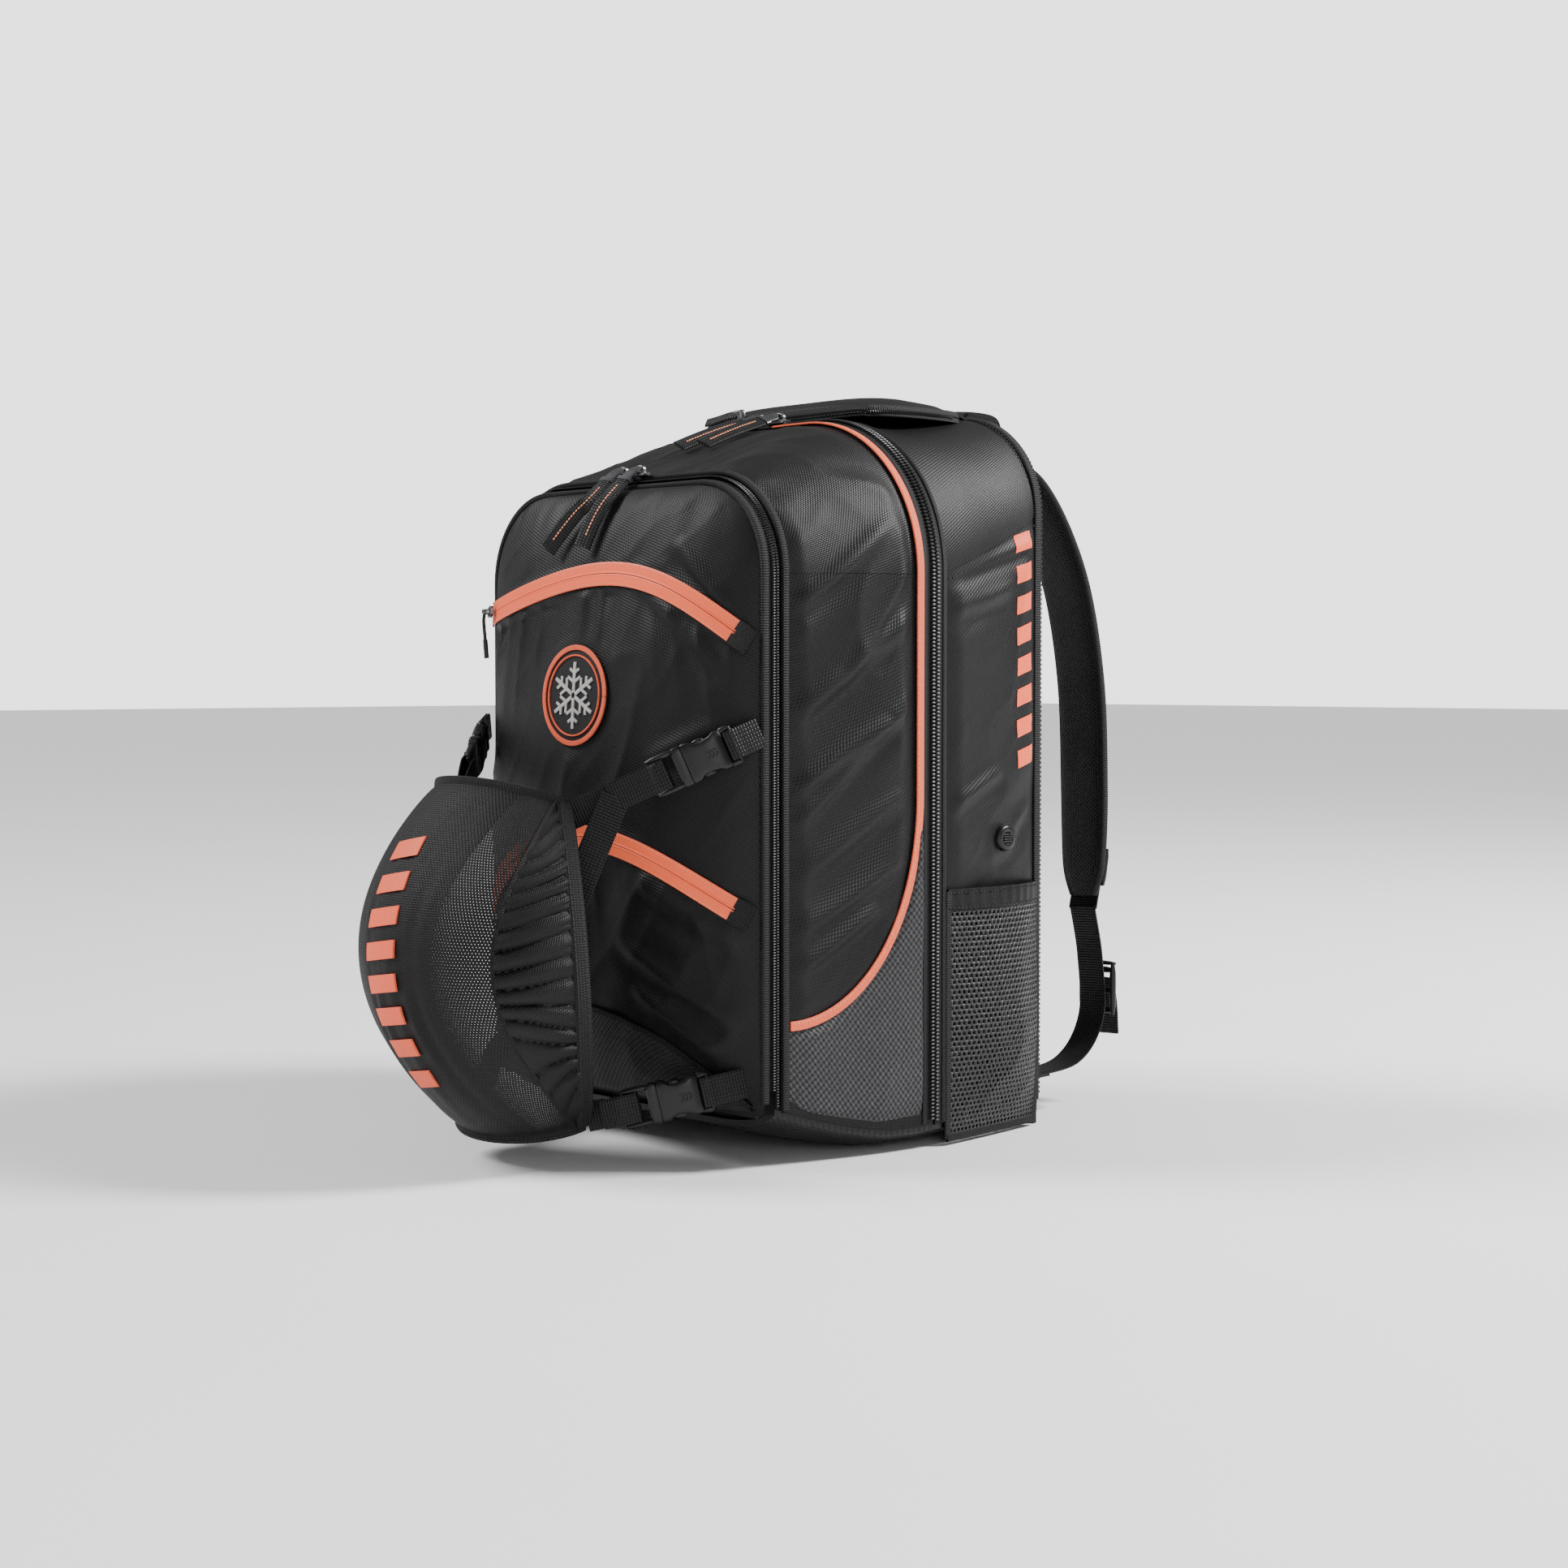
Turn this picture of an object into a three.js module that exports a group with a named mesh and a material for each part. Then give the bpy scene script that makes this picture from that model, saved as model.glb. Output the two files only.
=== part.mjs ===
// A ski boot bag worn as a backpack, in millimetres. +X is the wearer's left, +Y points to the
// wearer's back panel, +Z is up. The sewn shell is drawn with Y = 0 at the main zip, and the last
// lines move it so that the origin is at the middle of the footprint, on the floor.
import * as THREE from "three";

// Driving dimensions
const ZIP_Y = 48.6; // from the origin to the plane of the main zip
const BACK = 123; // depth of the rear half, from the main zip to the back panel
const FRONT = 140; // depth of the front half, from the main zip to the pocket face
const POCKET_SEAM = 125; // where the pocket zip starts, in front of the main zip
const WALL = 4; // fabric, foam and lining together
const GAP = 0.3; // between pieces that touch
const TAPE = 10; // width of one half of the main zip
const POCKET_TAPE = 7; // width of one half of the pocket zip
const FACE_BULGE = 45; // how far the pocket face stands out
const PAD = 14; // thickness of the back panel
const STRAP_WIDTH = 62;
const STRAP_THICK = 11;
const WEB = 20; // width of the helmet straps' webbing
const WEB_THICK = 1.6;
const TUCK = 13; // how far the floor's edges are drawn up at the side walls
const BUCKLE = { width: 28, thick: 10, sleeve: 28, wall: 2.4, prong: 19, body: 25 };

// Colours of the finishes
const FINISH = {
  cordura: [0x17171a, 0.82, 0],
  ballistic: [0x4a4b4f, 0.7, 0],
  coated: [0x1c1d20, 0.55, 0],
  coral: [0xee8368, 0.6, 0],
  coil: [0x101012, 0.5, 0],
  mesh: [0x1b1b1e, 0.9, 0],
  webbing: [0x18181b, 0.75, 0],
  foam: [0x1d1d20, 0.88, 0],
  plastic: [0x121214, 0.42, 0],
  metal: [0x55575b, 0.35, 0.9],
  patch: [0xd9d4cc, 0.7, 0],
};

const bag = new THREE.Group();

// Adds a named piece in one of the finishes.
function piece(name, geometry, finish) {
  const [color, roughness, metalness] = FINISH[finish];
  const mesh = new THREE.Mesh(geometry, new THREE.MeshStandardMaterial({ color, roughness, metalness }));
  mesh.name = name;
  bag.add(mesh);
  return mesh;
}

const SIDES = [
  ["left", -1],
  ["right", 1],
];
const mix = (a, b, t) => a + (b - a) * t;
const V = (x, y, z) => new THREE.Vector3(x, y, z);

// Turns the faces of a geometry round if they point inwards.
function faceOut(geometry) {
  const p = geometry.attributes.position;
  const index = geometry.index.array;
  let volume = 0;
  const [a, b, c] = [V(), V(), V()];
  for (let i = 0; i < index.length; i += 3) {
    a.fromBufferAttribute(p, index[i]);
    b.fromBufferAttribute(p, index[i + 1]);
    c.fromBufferAttribute(p, index[i + 2]);
    volume += a.dot(b.cross(c));
  }
  if (volume < 0)
    for (let i = 0; i < index.length; i += 3) [index[i], index[i + 1]] = [index[i + 1], index[i]];
  geometry.computeVertexNormals();
  return geometry;
}

// A box of nu by nv cells whose points are put where place(u, v, t) says, each from 0 to 1:
// u and v run over the panel, and t from its inner to its outer side.
function panel(nu, nv, place) {
  const box = new THREE.BoxGeometry(1, 1, 1, nu, nv, 1);
  const p = box.attributes.position;
  for (let i = 0; i < p.count; i++) {
    const at = place(p.getX(i) + 0.5, p.getY(i) + 0.5, p.getZ(i) + 0.5);
    p.setXYZ(i, at.x, at.y, at.z);
  }
  return faceOut(box);
}

// The shell's cross-section at depth y: half its width, its top, its bottom and its corner radius.
function section(y) {
  const t = Math.abs(y) / (y < 0 ? FRONT : BACK);
  const ease = t ** 1.3;
  return {
    half: mix(166, y < 0 ? 145 : 152, ease),
    top: mix(510, y < 0 ? 458 : 518, ease),
    floor: y < 0 ? 26 * Math.max(0, (t - 0.25) / 0.75) ** 1.4 : 0,
    radius: mix(112, y < 0 ? 62 : 72, ease),
  };
}

// The height of the foot of a side wall over a floor.
const foot = (floor) => floor + TUCK + WALL + 3 * GAP;

// The point at depth y on the shell, sunk by depth d, where s runs from -1 at the foot of the left
// wall, over the top at 0, to 1 at the foot of the right wall. From |s| = SHOULDER the wall is upright.
const SHOULDER = 0.5;
const CROWN = 0.2;
function shell(s, y, d = 0) {
  const { half, top, floor, radius } = section(y);
  const side = Math.sign(s);
  const a = Math.abs(s);
  const reach = half - d;
  const r = radius - d;
  if (a <= CROWN) return V(side * (half - radius) * (a / CROWN), y, top - d);
  if (a <= SHOULDER) {
    const turn = ((a - CROWN) / (SHOULDER - CROWN)) * (Math.PI / 2);
    return V(side * (half - radius + r * Math.sin(turn)), y, top - radius + r * Math.cos(turn));
  }
  return V(side * reach, y, mix(top - radius, foot(floor), (a - SHOULDER) / (1 - SHOULDER)));
}

// The value of s at height z on the upright part of the wall at depth y.
function wallAt(z, y) {
  const { top, floor, radius } = section(y);
  return mix(SHOULDER, 1, (top - radius - z) / (top - radius - foot(floor)));
}

// A length of the shell's wall between two places round it and two depths.
function wallPanel(s0, s1, y0, y1, nu, nv, proud = 0, thick = WALL) {
  return panel(nu, nv, (u, v, t) => shell(mix(s0, s1, u), mix(y0, y1, v), thick - proud - t * thick));
}

// An upside-down U with round corners, lying in X and Z, as a shape for a flat panel.
function archShape(half, foot, top, radius) {
  const shape = new THREE.Shape();
  shape.moveTo(-half, foot);
  shape.lineTo(half, foot);
  shape.lineTo(half, top - radius);
  shape.absarc(half - radius, top - radius, radius, 0, Math.PI / 2, false);
  shape.absarc(-(half - radius), top - radius, radius, Math.PI / 2, Math.PI, false);
  shape.lineTo(-half, foot);
  return shape;
}

// Stands an extrusion made in X and Y upright in X and Z, from depth y0 towards +Y.
function upright(shape, y0, depth, curveSegments = 6) {
  const g = new THREE.ExtrudeGeometry(shape, { depth, bevelEnabled: false, curveSegments });
  return g.rotateX(Math.PI / 2).translate(0, y0 + depth, 0);
}

// Rear half: side walls, top, floor, the rear half of the main zip and the padded back panel.
function rearHalf() {
  const y0 = TAPE + GAP;
  for (const [name, side] of SIDES)
    piece(`rear_side_${name}`, wallPanel(side * 0.503, side, y0, BACK, 4, 4), "cordura");
  piece("rear_top", wallPanel(-0.5, 0.5, y0, BACK, 18, 4), "cordura");
  piece("main_zip_rear", wallPanel(-1, 1, GAP / 2, TAPE, 28, 1, 1), "coil");
  piece("rear_floor", floorPanel(GAP / 2, BACK), "coated");
  const { half, top, radius } = section(BACK);
  piece("back_panel", upright(archShape(half - 2, 6, top, radius), BACK + GAP, PAD), "foam");
}

// A stretch of the floor between two depths, drawn up at its sides to meet the walls.
function floorPanel(y0, y1) {
  return panel(12, 6, (u, v, t) => {
    const y = mix(y0, y1, v);
    const { half, floor } = section(y);
    const across = Math.sin((u - 0.5) * Math.PI);
    return V(across * half, y, floor + TUCK * across ** 8 + t * WALL);
  });
}

// The line on each side wall along which the coral tape leaves the main zip and turns forwards:
// a quarter of an ellipse from the zip down to the pocket seam.
const PIPING = { start: -14, top: 246, drop: 155 };
function pipingHeight(y) {
  const reach = POCKET_SEAM + PIPING.start;
  const t = Math.min(1, Math.max(0, (y + POCKET_SEAM) / reach));
  return PIPING.top - PIPING.drop * Math.sqrt(1 - t * t);
}

// Front half: side walls, ballistic corner panels, top, floor, coral piping, divider and zip halves.
function frontHalf() {
  const [y0, y1] = [-POCKET_SEAM + GAP, -TAPE - GAP];
  for (const [name, side] of SIDES) {
    const seam = (y, shift) => wallAt(pipingHeight(y) + shift, y);
    const depth = (u) => mix(y0, y1, Math.sin((u * Math.PI) / 2));
    const side_wall = panel(12, 4, (u, v, t) => {
      const y = depth(u);
      return shell(side * mix(0.503, seam(y, GAP), v), y, WALL - t * WALL);
    });
    piece(`front_side_${name}`, side_wall, "cordura");
    const corner = panel(12, 3, (u, v, t) => {
      const y = depth(u);
      return shell(side * mix(seam(y, -GAP), 1, v), y, WALL - t * WALL);
    });
    piece(`corner_panel_${name}`, corner, "ballistic");
    piece(`coral_piping_${name}`, pipingStrip(side), "coral");
  }
  piece("front_top", wallPanel(-0.5, 0.5, y0, y1, 18, 4), "cordura");
  piece("main_zip_front", wallPanel(-1, 1, -TAPE, -GAP / 2, 28, 1, 1), "coil");
  piece("pocket_zip_rear", wallPanel(-1, 1, -POCKET_SEAM - POCKET_TAPE, -POCKET_SEAM, 24, 1, 1), "coil");
  piece("front_floor", floorPanel(-POCKET_SEAM - POCKET_TAPE, -GAP / 2), "coated");
  const y = -POCKET_SEAM + 1;
  const { half, top, floor, radius } = section(y);
  const inset = WALL + 1.5;
  const shape = archShape(half - inset, floor + TUCK + inset, top - inset, radius - inset);
  piece("pocket_divider", upright(shape, y, 3), "cordura");
}

// The flat coral tape of one side, from the top beside the slider down to the pocket seam.
function pipingStrip(side) {
  const width = 6.5;
  const start = -TAPE - GAP - width / 2 - 0.4;
  const turn = wallAt(PIPING.top, start);
  const last = -POCKET_SEAM + 4;
  const bend = 0.62; // the share of its length that runs beside the main zip
  const middle = (u) => {
    if (u <= bend) return [mix(0.06, turn, u / bend), start];
    const angle = ((u - bend) / (1 - bend)) * (Math.PI / 2);
    const y = mix(last, start, Math.cos(angle));
    return [wallAt(PIPING.top - (PIPING.drop - 4) * Math.sin(angle), y), y];
  };
  return panel(34, 1, (u, v, t) => {
    const [s, y] = middle(u);
    const [s0, y0] = middle(Math.max(0, u - 0.004));
    const [s1, y1] = middle(Math.min(1, u + 0.004));
    const along = shell(side * s1, y1).sub(shell(side * s0, y0)).normalize();
    const at = shell(side * s, y, -1 - t * 1.4);
    const out = shell(side * s, y, -1).sub(shell(side * s, y)).normalize();
    return at.addScaledVector(along.cross(out), side * (v - 0.5) * width);
  });
}

// The depth of the pocket face at a place on it. It rises steeply from its edge to a flat crown.
const FACE = { y: -FRONT, foot: 36, bulge: FACE_BULGE };
function faceHalf(z) {
  const { half, top, radius } = section(FACE.y);
  const up = z - (top - radius);
  return up <= 0 ? half : half - radius + Math.sqrt(Math.max(0, radius * radius - up * up));
}
function faceDepth(x, z) {
  const { top } = section(FACE.y);
  const across = Math.min(1, Math.abs(x) / faceHalf(z));
  const up = Math.min(1, Math.max(0, (z - FACE.foot) / (top - FACE.foot)));
  const swell = (1 - across ** 2.8) ** 0.75 * (4 * up * (1 - up)) ** 0.42;
  return FACE.y - GAP - FACE.bulge * swell;
}

const PATCH = { radius: 35, height: 315, thick: 1.6 };
const CORAL_ZIP = { from: -134, to: 137, width: 17 };

// The front pocket: a swollen face with its half of the zip, two coral zips and a round patch.
function frontPocket() {
  const { half, top } = section(FACE.y);
  const spread = (t) => 0.5 - 0.5 * Math.cos(t * Math.PI);
  const face = panel(16, 14, (u, v, t) => {
    const z = mix(FACE.foot, top, spread(v));
    const x = (2 * spread(u) - 1) * faceHalf(z);
    if (t > 0.5) return V(x, faceDepth(x, z), z);
    const k = (half - WALL) / half;
    const middle = (top + FACE.foot) / 2;
    return V(x * k, Math.min(faceDepth(x, z) + WALL, FACE.y - GAP), middle + (z - middle) * k);
  });
  piece("pocket_face", face, "cordura");
  const lips = [-FRONT, -POCKET_SEAM - POCKET_TAPE - GAP];
  piece("pocket_zip_front", wallPanel(-0.985, 0.985, ...lips, 24, 1, 1), "coil");
  const { from, to, width } = CORAL_ZIP;
  piece("coral_zip_upper", faceStrip(from, to, upperArch, width), "coral");
  piece("coral_zip_lower", faceStrip(from, to, lowerArch, width), "coral");
  const { radius, height, thick } = PATCH;
  const disc = new THREE.CylinderGeometry(radius, radius, thick, 32, 1);
  const p = disc.attributes.position;
  for (let i = 0; i < p.count; i++) {
    const [x, z] = [p.getX(i), height + p.getZ(i)];
    p.setXYZ(i, x, faceDepth(x, z) - thick - p.getY(i), z);
  }
  piece("emblem_patch", faceOut(disc), "patch");
}

// The heights of the two arched zips on the pocket face at x.
function upperArch(x) {
  const t = (x - 22) / 100;
  return 398 - 23.9 * t ** 2 - 8.9 * t ** 3;
}
function lowerArch(x) {
  const t = (x - 10) / 100;
  return 218 - 29.6 * t ** 2;
}

// A tape lying on the pocket face along z = line(x).
function faceStrip(x0, x1, line, width) {
  return panel(22, 2, (u, v, t) => {
    const x = mix(x0, x1, u);
    const slope = line(x + 0.5) - line(x - 0.5);
    const k = ((v - 0.5) * width) / Math.hypot(1, slope);
    const [px, pz] = [x - slope * k, line(x) + k];
    return V(px, faceDepth(px, pz) - 1 - t * 1.6, pz);
  });
}

// The goggle pocket's domed lid on top of the rear half.
const LID = { half: 96, front: 16, back: 108, base: 519, rise: 14 };
function lid() {
  const dome = panel(12, 8, (u, v, t) => {
    const across = 2 * u - 1;
    const round = 0.86 + 0.14 * Math.sqrt(1 - (2 * v - 1) ** 2 * 0.999);
    const swell = (1 - Math.abs(across) ** 4) ** 0.6 * (4 * v * (1 - v) + 0.001) ** 0.4;
    const k = t > 0.5 ? 1 : 0.95;
    const x = across * LID.half * round * k;
    const y = mix(LID.front, LID.back, 0.5 + (v - 0.5) * k);
    return V(x, y, LID.base + Math.max(0, LID.rise * swell - (t > 0.5 ? 0 : 3.5)));
  });
  piece("goggle_pocket_lid", dome, "cordura");
}

// One elastic mesh pocket on the side wall, open at the top, swollen towards its lower back corner.
const POUCH = { front: 13, back: 119, foot: 5, top: 180, swell: 19 };
function sidePouch(side) {
  return panel(8, 8, (u, v, t) => {
    const y = mix(POUCH.front, POUCH.back, u);
    const z = mix(POUCH.foot, POUCH.top, v);
    const low = Math.sin(Math.min(1, v * 2.2) * (Math.PI / 2)) * mix(1, 0.62, v);
    const swell = POUCH.swell * Math.sin(u ** 1.5 * Math.PI) ** 0.65 * low;
    return shell(side * wallAt(z, y), y, -(GAP + 0.2) - Math.max(swell, 0) - t * 2.6);
  });
}

// A vent ring set on the side wall above the mesh pocket.
function ventRing(side) {
  const profile = [
    [3.5, 0],
    [9.5, 0],
    [9.5, 1.4],
    [8.2, 2.6],
    [4.6, 2.6],
    [3.5, 1.6],
    [3.5, 0],
  ].map(([r, h]) => new THREE.Vector2(r, h));
  const at = shell(side * wallAt(213, 76), 76, -2.2);
  return new THREE.LatheGeometry(profile, 24).rotateZ((-side * Math.PI) / 2).translate(at.x, at.y, at.z);
}

// A flat band along a curve. Its width lies along wide, squared to the curve at each step.
function band(points, width, thick, steps, wide, square = 0) {
  const curve = new THREE.CatmullRomCurve3(points, false, "centripetal");
  return panel(steps, 1, (u, v, t) => {
    const along = curve.getTangentAt(u);
    const out = V().crossVectors(wide, along).normalize();
    const across = V().crossVectors(along, out).normalize();
    const taper = 1 - square * Math.abs(2 * u - 1) ** 6;
    return curve
      .getPointAt(u)
      .addScaledVector(across, (v - 0.5) * width * taper)
      .addScaledVector(out, (t - 0.5) * thick);
  });
}

// Shoulder straps, their lower webbing and ladder locks, and the haul handle.
const PANEL_Y = BACK + GAP + PAD; // the wearer's side of the back panel
function harness() {
  for (const [name, side] of SIDES) {
    const strap = [
      [72, PANEL_Y + 9, 492],
      [84, PANEL_Y + 46, 474],
      [98, PANEL_Y + 75, 410],
      [106, PANEL_Y + 88, 330],
      [110, PANEL_Y + 89, 240],
      [114, PANEL_Y + 84, 160],
    ].map(([x, y, z]) => V(side * x, y, z));
    const splay = V(0.94, side * -0.34, 0);
    piece(`shoulder_strap_${name}`, band(strap, STRAP_WIDTH, STRAP_THICK, 20, splay, 0.3), "foam");
    const web = [
      [114, PANEL_Y + 83, 152],
      [116, PANEL_Y + 90, 112],
      [118, PANEL_Y + 89, 66],
      [119, PANEL_Y + 60, 36],
      [120, PANEL_Y + 2, 30],
    ].map(([x, y, z]) => V(side * x, y, z));
    piece(`strap_webbing_${name}`, band(web, 25, 2, 12, V(1, 0, 0)), "webbing");
    const lock = piece(`ladder_lock_${name}`, ladderLock(), "plastic");
    lock.position.set(side * 117, PANEL_Y + 98, 88);
  }
  const grip = [
    [-78, PANEL_Y + 11, 505],
    [-60, PANEL_Y + 24, 519],
    [0, PANEL_Y + 34, 526],
    [60, PANEL_Y + 24, 519],
    [78, PANEL_Y + 11, 505],
  ].map(([x, y, z]) => V(x, y, z));
  piece("haul_handle", band(grip, 22, 4, 16, V(0, 0.75, 0.66)), "webbing");
}

// A ladder lock: a plate with two slots for the webbing, lying in X and Z.
function ladderLock() {
  const plate = new THREE.Shape();
  plate.moveTo(-17, -19);
  plate.lineTo(17, -19);
  plate.lineTo(17, 19);
  plate.lineTo(-17, 19);
  plate.lineTo(-17, -19);
  for (const z of [-9, 6]) {
    const slot = new THREE.Path();
    slot.moveTo(-13.2, z - 4);
    slot.lineTo(-13.2, z + 4);
    slot.lineTo(13.2, z + 4);
    slot.lineTo(13.2, z - 4);
    slot.lineTo(-13.2, z - 4);
    plate.holes.push(slot);
  }
  return upright(plate, -2.5, 5);
}

// One zip slider: a low body that straddles the teeth, with its length along X.
function slider(length, width, height) {
  const profile = new THREE.Shape();
  profile.moveTo(-length / 2, 0);
  profile.lineTo(length / 2, 0);
  profile.lineTo(length / 2 - 2, height);
  profile.lineTo(-length / 2 + 2, height);
  profile.lineTo(-length / 2, 0);
  return upright(profile, -width / 2, width);
}

// The sliders and pulls of the main zip, side by side at the top and drawn apart along X.
const SLIDER = { length: 15, width: 13, height: 5, apart: 9.5 };
const PULL = { width: 11, thick: 2.4 };
function sliders() {
  for (const [name, side] of SIDES) {
    const x = side * SLIDER.apart;
    const top = section(0).top + 1 + 0.4;
    const main = piece(`main_slider_${name}`, slider(SLIDER.length, SLIDER.width, SLIDER.height), "metal");
    main.position.set(x, 0, top);
    const lie = [7.4, 25.4, 43.4, 61.4, 77.4].map((ahead) =>
      V(x + side * (ahead - 3.4) * 0.05, -ahead, section(-ahead).top + 5)
    );
    piece(`main_pull_${name}`, band(lie, PULL.width, PULL.thick, 8, V(1, 0, 0)), "webbing");
    const seam = -POCKET_SEAM - POCKET_TAPE - GAP / 2;
    const lift = section(-POCKET_SEAM - 2).top + 1 + 1.6;
    const small = piece(`pocket_slider_${name}`, slider(13, 11, 4.5), "metal");
    small.position.set(x, seam, lift);
    const hang = [452, 440, 428, 416, 404].map((z) => V(x, faceDepth(x, z) - 4.5, z));
    hang.unshift(V(x, seam - 9, lift + 1));
    piece(`pocket_pull_${name}`, band(hang, PULL.width, PULL.thick, 9, V(1, 0, 0)), "webbing");
  }
  const x = -124;
  const coral = piece("coral_slider", slider(12, 9, 4).rotateX(Math.PI / 2), "metal");
  coral.rotation.set(0, -Math.atan(upperArch(x + 1) - upperArch(x)), -0.75, "ZYX");
  coral.position.set(x, faceDepth(x + 4, upperArch(x)) - 5, upperArch(x));
  const goggle = piece("goggle_slider", slider(12, 9, 4).rotateX(Math.PI / 2), "metal");
  goggle.position.set(-50, LID.front - 2.5, LID.base + 5);
}

// The net that holds a helmet against the pocket face: half an ellipse from one bound edge to the
// other, deepest at mid height, where the edges also bow outwards. v runs from the lower rim up.
const NET = { corner: 60, bow: 36, foot: 30, top: 245, back: 233, lean: 8, rim: 38, belly: 47 };
function netPoint(u, v, d) {
  const turn = (u - 0.5) * Math.PI;
  const middle = Math.sin(v * Math.PI) ** 0.8;
  const half = NET.corner + NET.bow * middle - d;
  const deep = NET.rim + NET.belly * middle - d;
  const back = NET.back + NET.lean * (2 * v - 1) + 22 * middle;
  const rise = mix(NET.foot - 10 * Math.cos(turn), NET.top + 14 * Math.cos(turn), v);
  return V(half * Math.sin(turn), -back - deep * Math.cos(turn), rise);
}

// The net body is a knitted middle between two gathered side panels with bound edges.
const NET_SPLIT = 0.17; // the share of the net's width taken by each gathered side panel
function helmetNet() {
  const strip = (u0, u1, n) => panel(n, 10, (u, v, t) => netPoint(mix(u0, u1, u), v, 3 * (1 - t)));
  piece("helmet_net", strip(NET_SPLIT + 0.003, 1 - NET_SPLIT - 0.003, 12), "mesh");
  piece("net_gather_left", strip(0, NET_SPLIT, 4), "cordura");
  piece("net_gather_right", strip(1 - NET_SPLIT, 1, 4), "cordura");
}

// The four straps that draw the net to the pocket's edge. Each runs from a corner of the net to an
// anchor and is closed by a side-release buckle: the sleeve stays with the bag, and the plug's
// prongs slide out of it towards the net.
const STRAPS = [
  ["upper", [68, -236, 239], [151, -FRONT - 7, 292], 79],
  ["lower", [66, -220, 36], [133, -FRONT - 8, 58], 44],
];
function strapFrame(side, from, to) {
  const start = V(side * from[0], from[1], from[2]);
  const along = V(side * to[0], to[1], to[2]).sub(start);
  along.normalize();
  const out = V(0, 0, -side).cross(along).normalize();
  return { start, along, out };
}

// Places a geometry drawn with its length along +X, its width along Y and its thickness along Z.
function along(frame, far, geometry, lift = 0) {
  const across = V().crossVectors(frame.out, frame.along);
  const turn = new THREE.Matrix4().makeBasis(frame.along, across, frame.out);
  const at = frame.start.clone().addScaledVector(frame.along, far).addScaledVector(frame.out, lift);
  return geometry.applyMatrix4(turn.setPosition(at));
}

function rectangle(target, x0, y0, x1, y1) {
  target.moveTo(x0, y0);
  target.lineTo(x1, y0);
  target.lineTo(x1, y1);
  target.lineTo(x0, y1);
  target.lineTo(x0, y0);
  return target;
}

function sleeve() {
  const { width, thick, sleeve: length, wall } = BUCKLE;
  const ring = rectangle(new THREE.Shape(), -thick / 2, -width / 2, thick / 2, width / 2);
  const bore = new THREE.Path();
  rectangle(bore, wall - thick / 2, wall - width / 2, thick / 2 - wall, width / 2 - wall);
  ring.holes.push(bore);
  return new THREE.ExtrudeGeometry(ring, { depth: length, bevelEnabled: false }).rotateY(Math.PI / 2);
}

function plug() {
  const { width, wall, prong, body, thick } = BUCKLE;
  const outer = width / 2 - wall - GAP;
  const outline = new THREE.Shape();
  outline.moveTo(-body, -width / 2 + 1);
  outline.lineTo(-GAP, -width / 2 + 1);
  outline.lineTo(-GAP, -outer);
  outline.lineTo(prong, -outer + 1.5);
  outline.lineTo(prong, -outer + 5);
  outline.lineTo(0, -outer + 4);
  outline.lineTo(0, -2.5);
  outline.lineTo(prong - 3, -2.5);
  outline.lineTo(prong - 3, 2.5);
  outline.lineTo(0, 2.5);
  outline.lineTo(0, outer - 4);
  outline.lineTo(prong, outer - 5);
  outline.lineTo(prong, outer - 1.5);
  outline.lineTo(-GAP, outer);
  outline.lineTo(-GAP, width / 2 - 1);
  outline.lineTo(-body, width / 2 - 1);
  outline.lineTo(-body, -width / 2 + 1);
  for (const [x, half] of [[3, 10.6], [12, 10.3]]) {
    const slot = new THREE.Path();
    outline.holes.push(rectangle(slot, x - body, -half, x - body + 5.5, half));
  }
  const depth = thick - 2 * wall - 2 * GAP;
  return new THREE.ExtrudeGeometry(outline, { depth, bevelEnabled: false }).translate(0, 0, -depth / 2);
}

function netStraps() {
  for (const [name, side] of SIDES)
    for (const [level, from, to, mouth] of STRAPS) {
      const frame = strapFrame(side, from, to);
      const tag = `${level}_${name}`;
      piece(`buckle_sleeve_${tag}`, along(frame, mouth, sleeve()), "plastic");
      piece(`buckle_plug_${tag}`, along(frame, mouth, plug()), "plastic");
      const run = mouth - 5.5;
      const web = new THREE.BoxGeometry(run, WEB, WEB_THICK).translate(run / 2 + 4, 0, 0);
      piece(`net_webbing_${tag}`, along(frame, 0, web, -4.2), "webbing");
    }
}

rearHalf();
frontHalf();
frontPocket();
lid();
for (const [name, side] of SIDES) {
  piece(`side_pocket_${name}`, sidePouch(side), "mesh");
  piece(`vent_ring_${name}`, ventRing(side), "plastic");
}
harness();
sliders();
helmetNet();
netStraps();
bag.position.y = ZIP_Y;

export default bag;
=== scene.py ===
"""Ski boot bag: the visual model of a soft backpack for ski boots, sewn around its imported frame.

The cloth is drawn in millimetres with Y = 0 at the main zip, as the pattern is cut, and moved to the
frame's place, in metres, when a mesh is made.
"""

import logging
import math
from dataclasses import dataclass, field
from enum import Enum
from typing import Callable, Optional, Sequence

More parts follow.
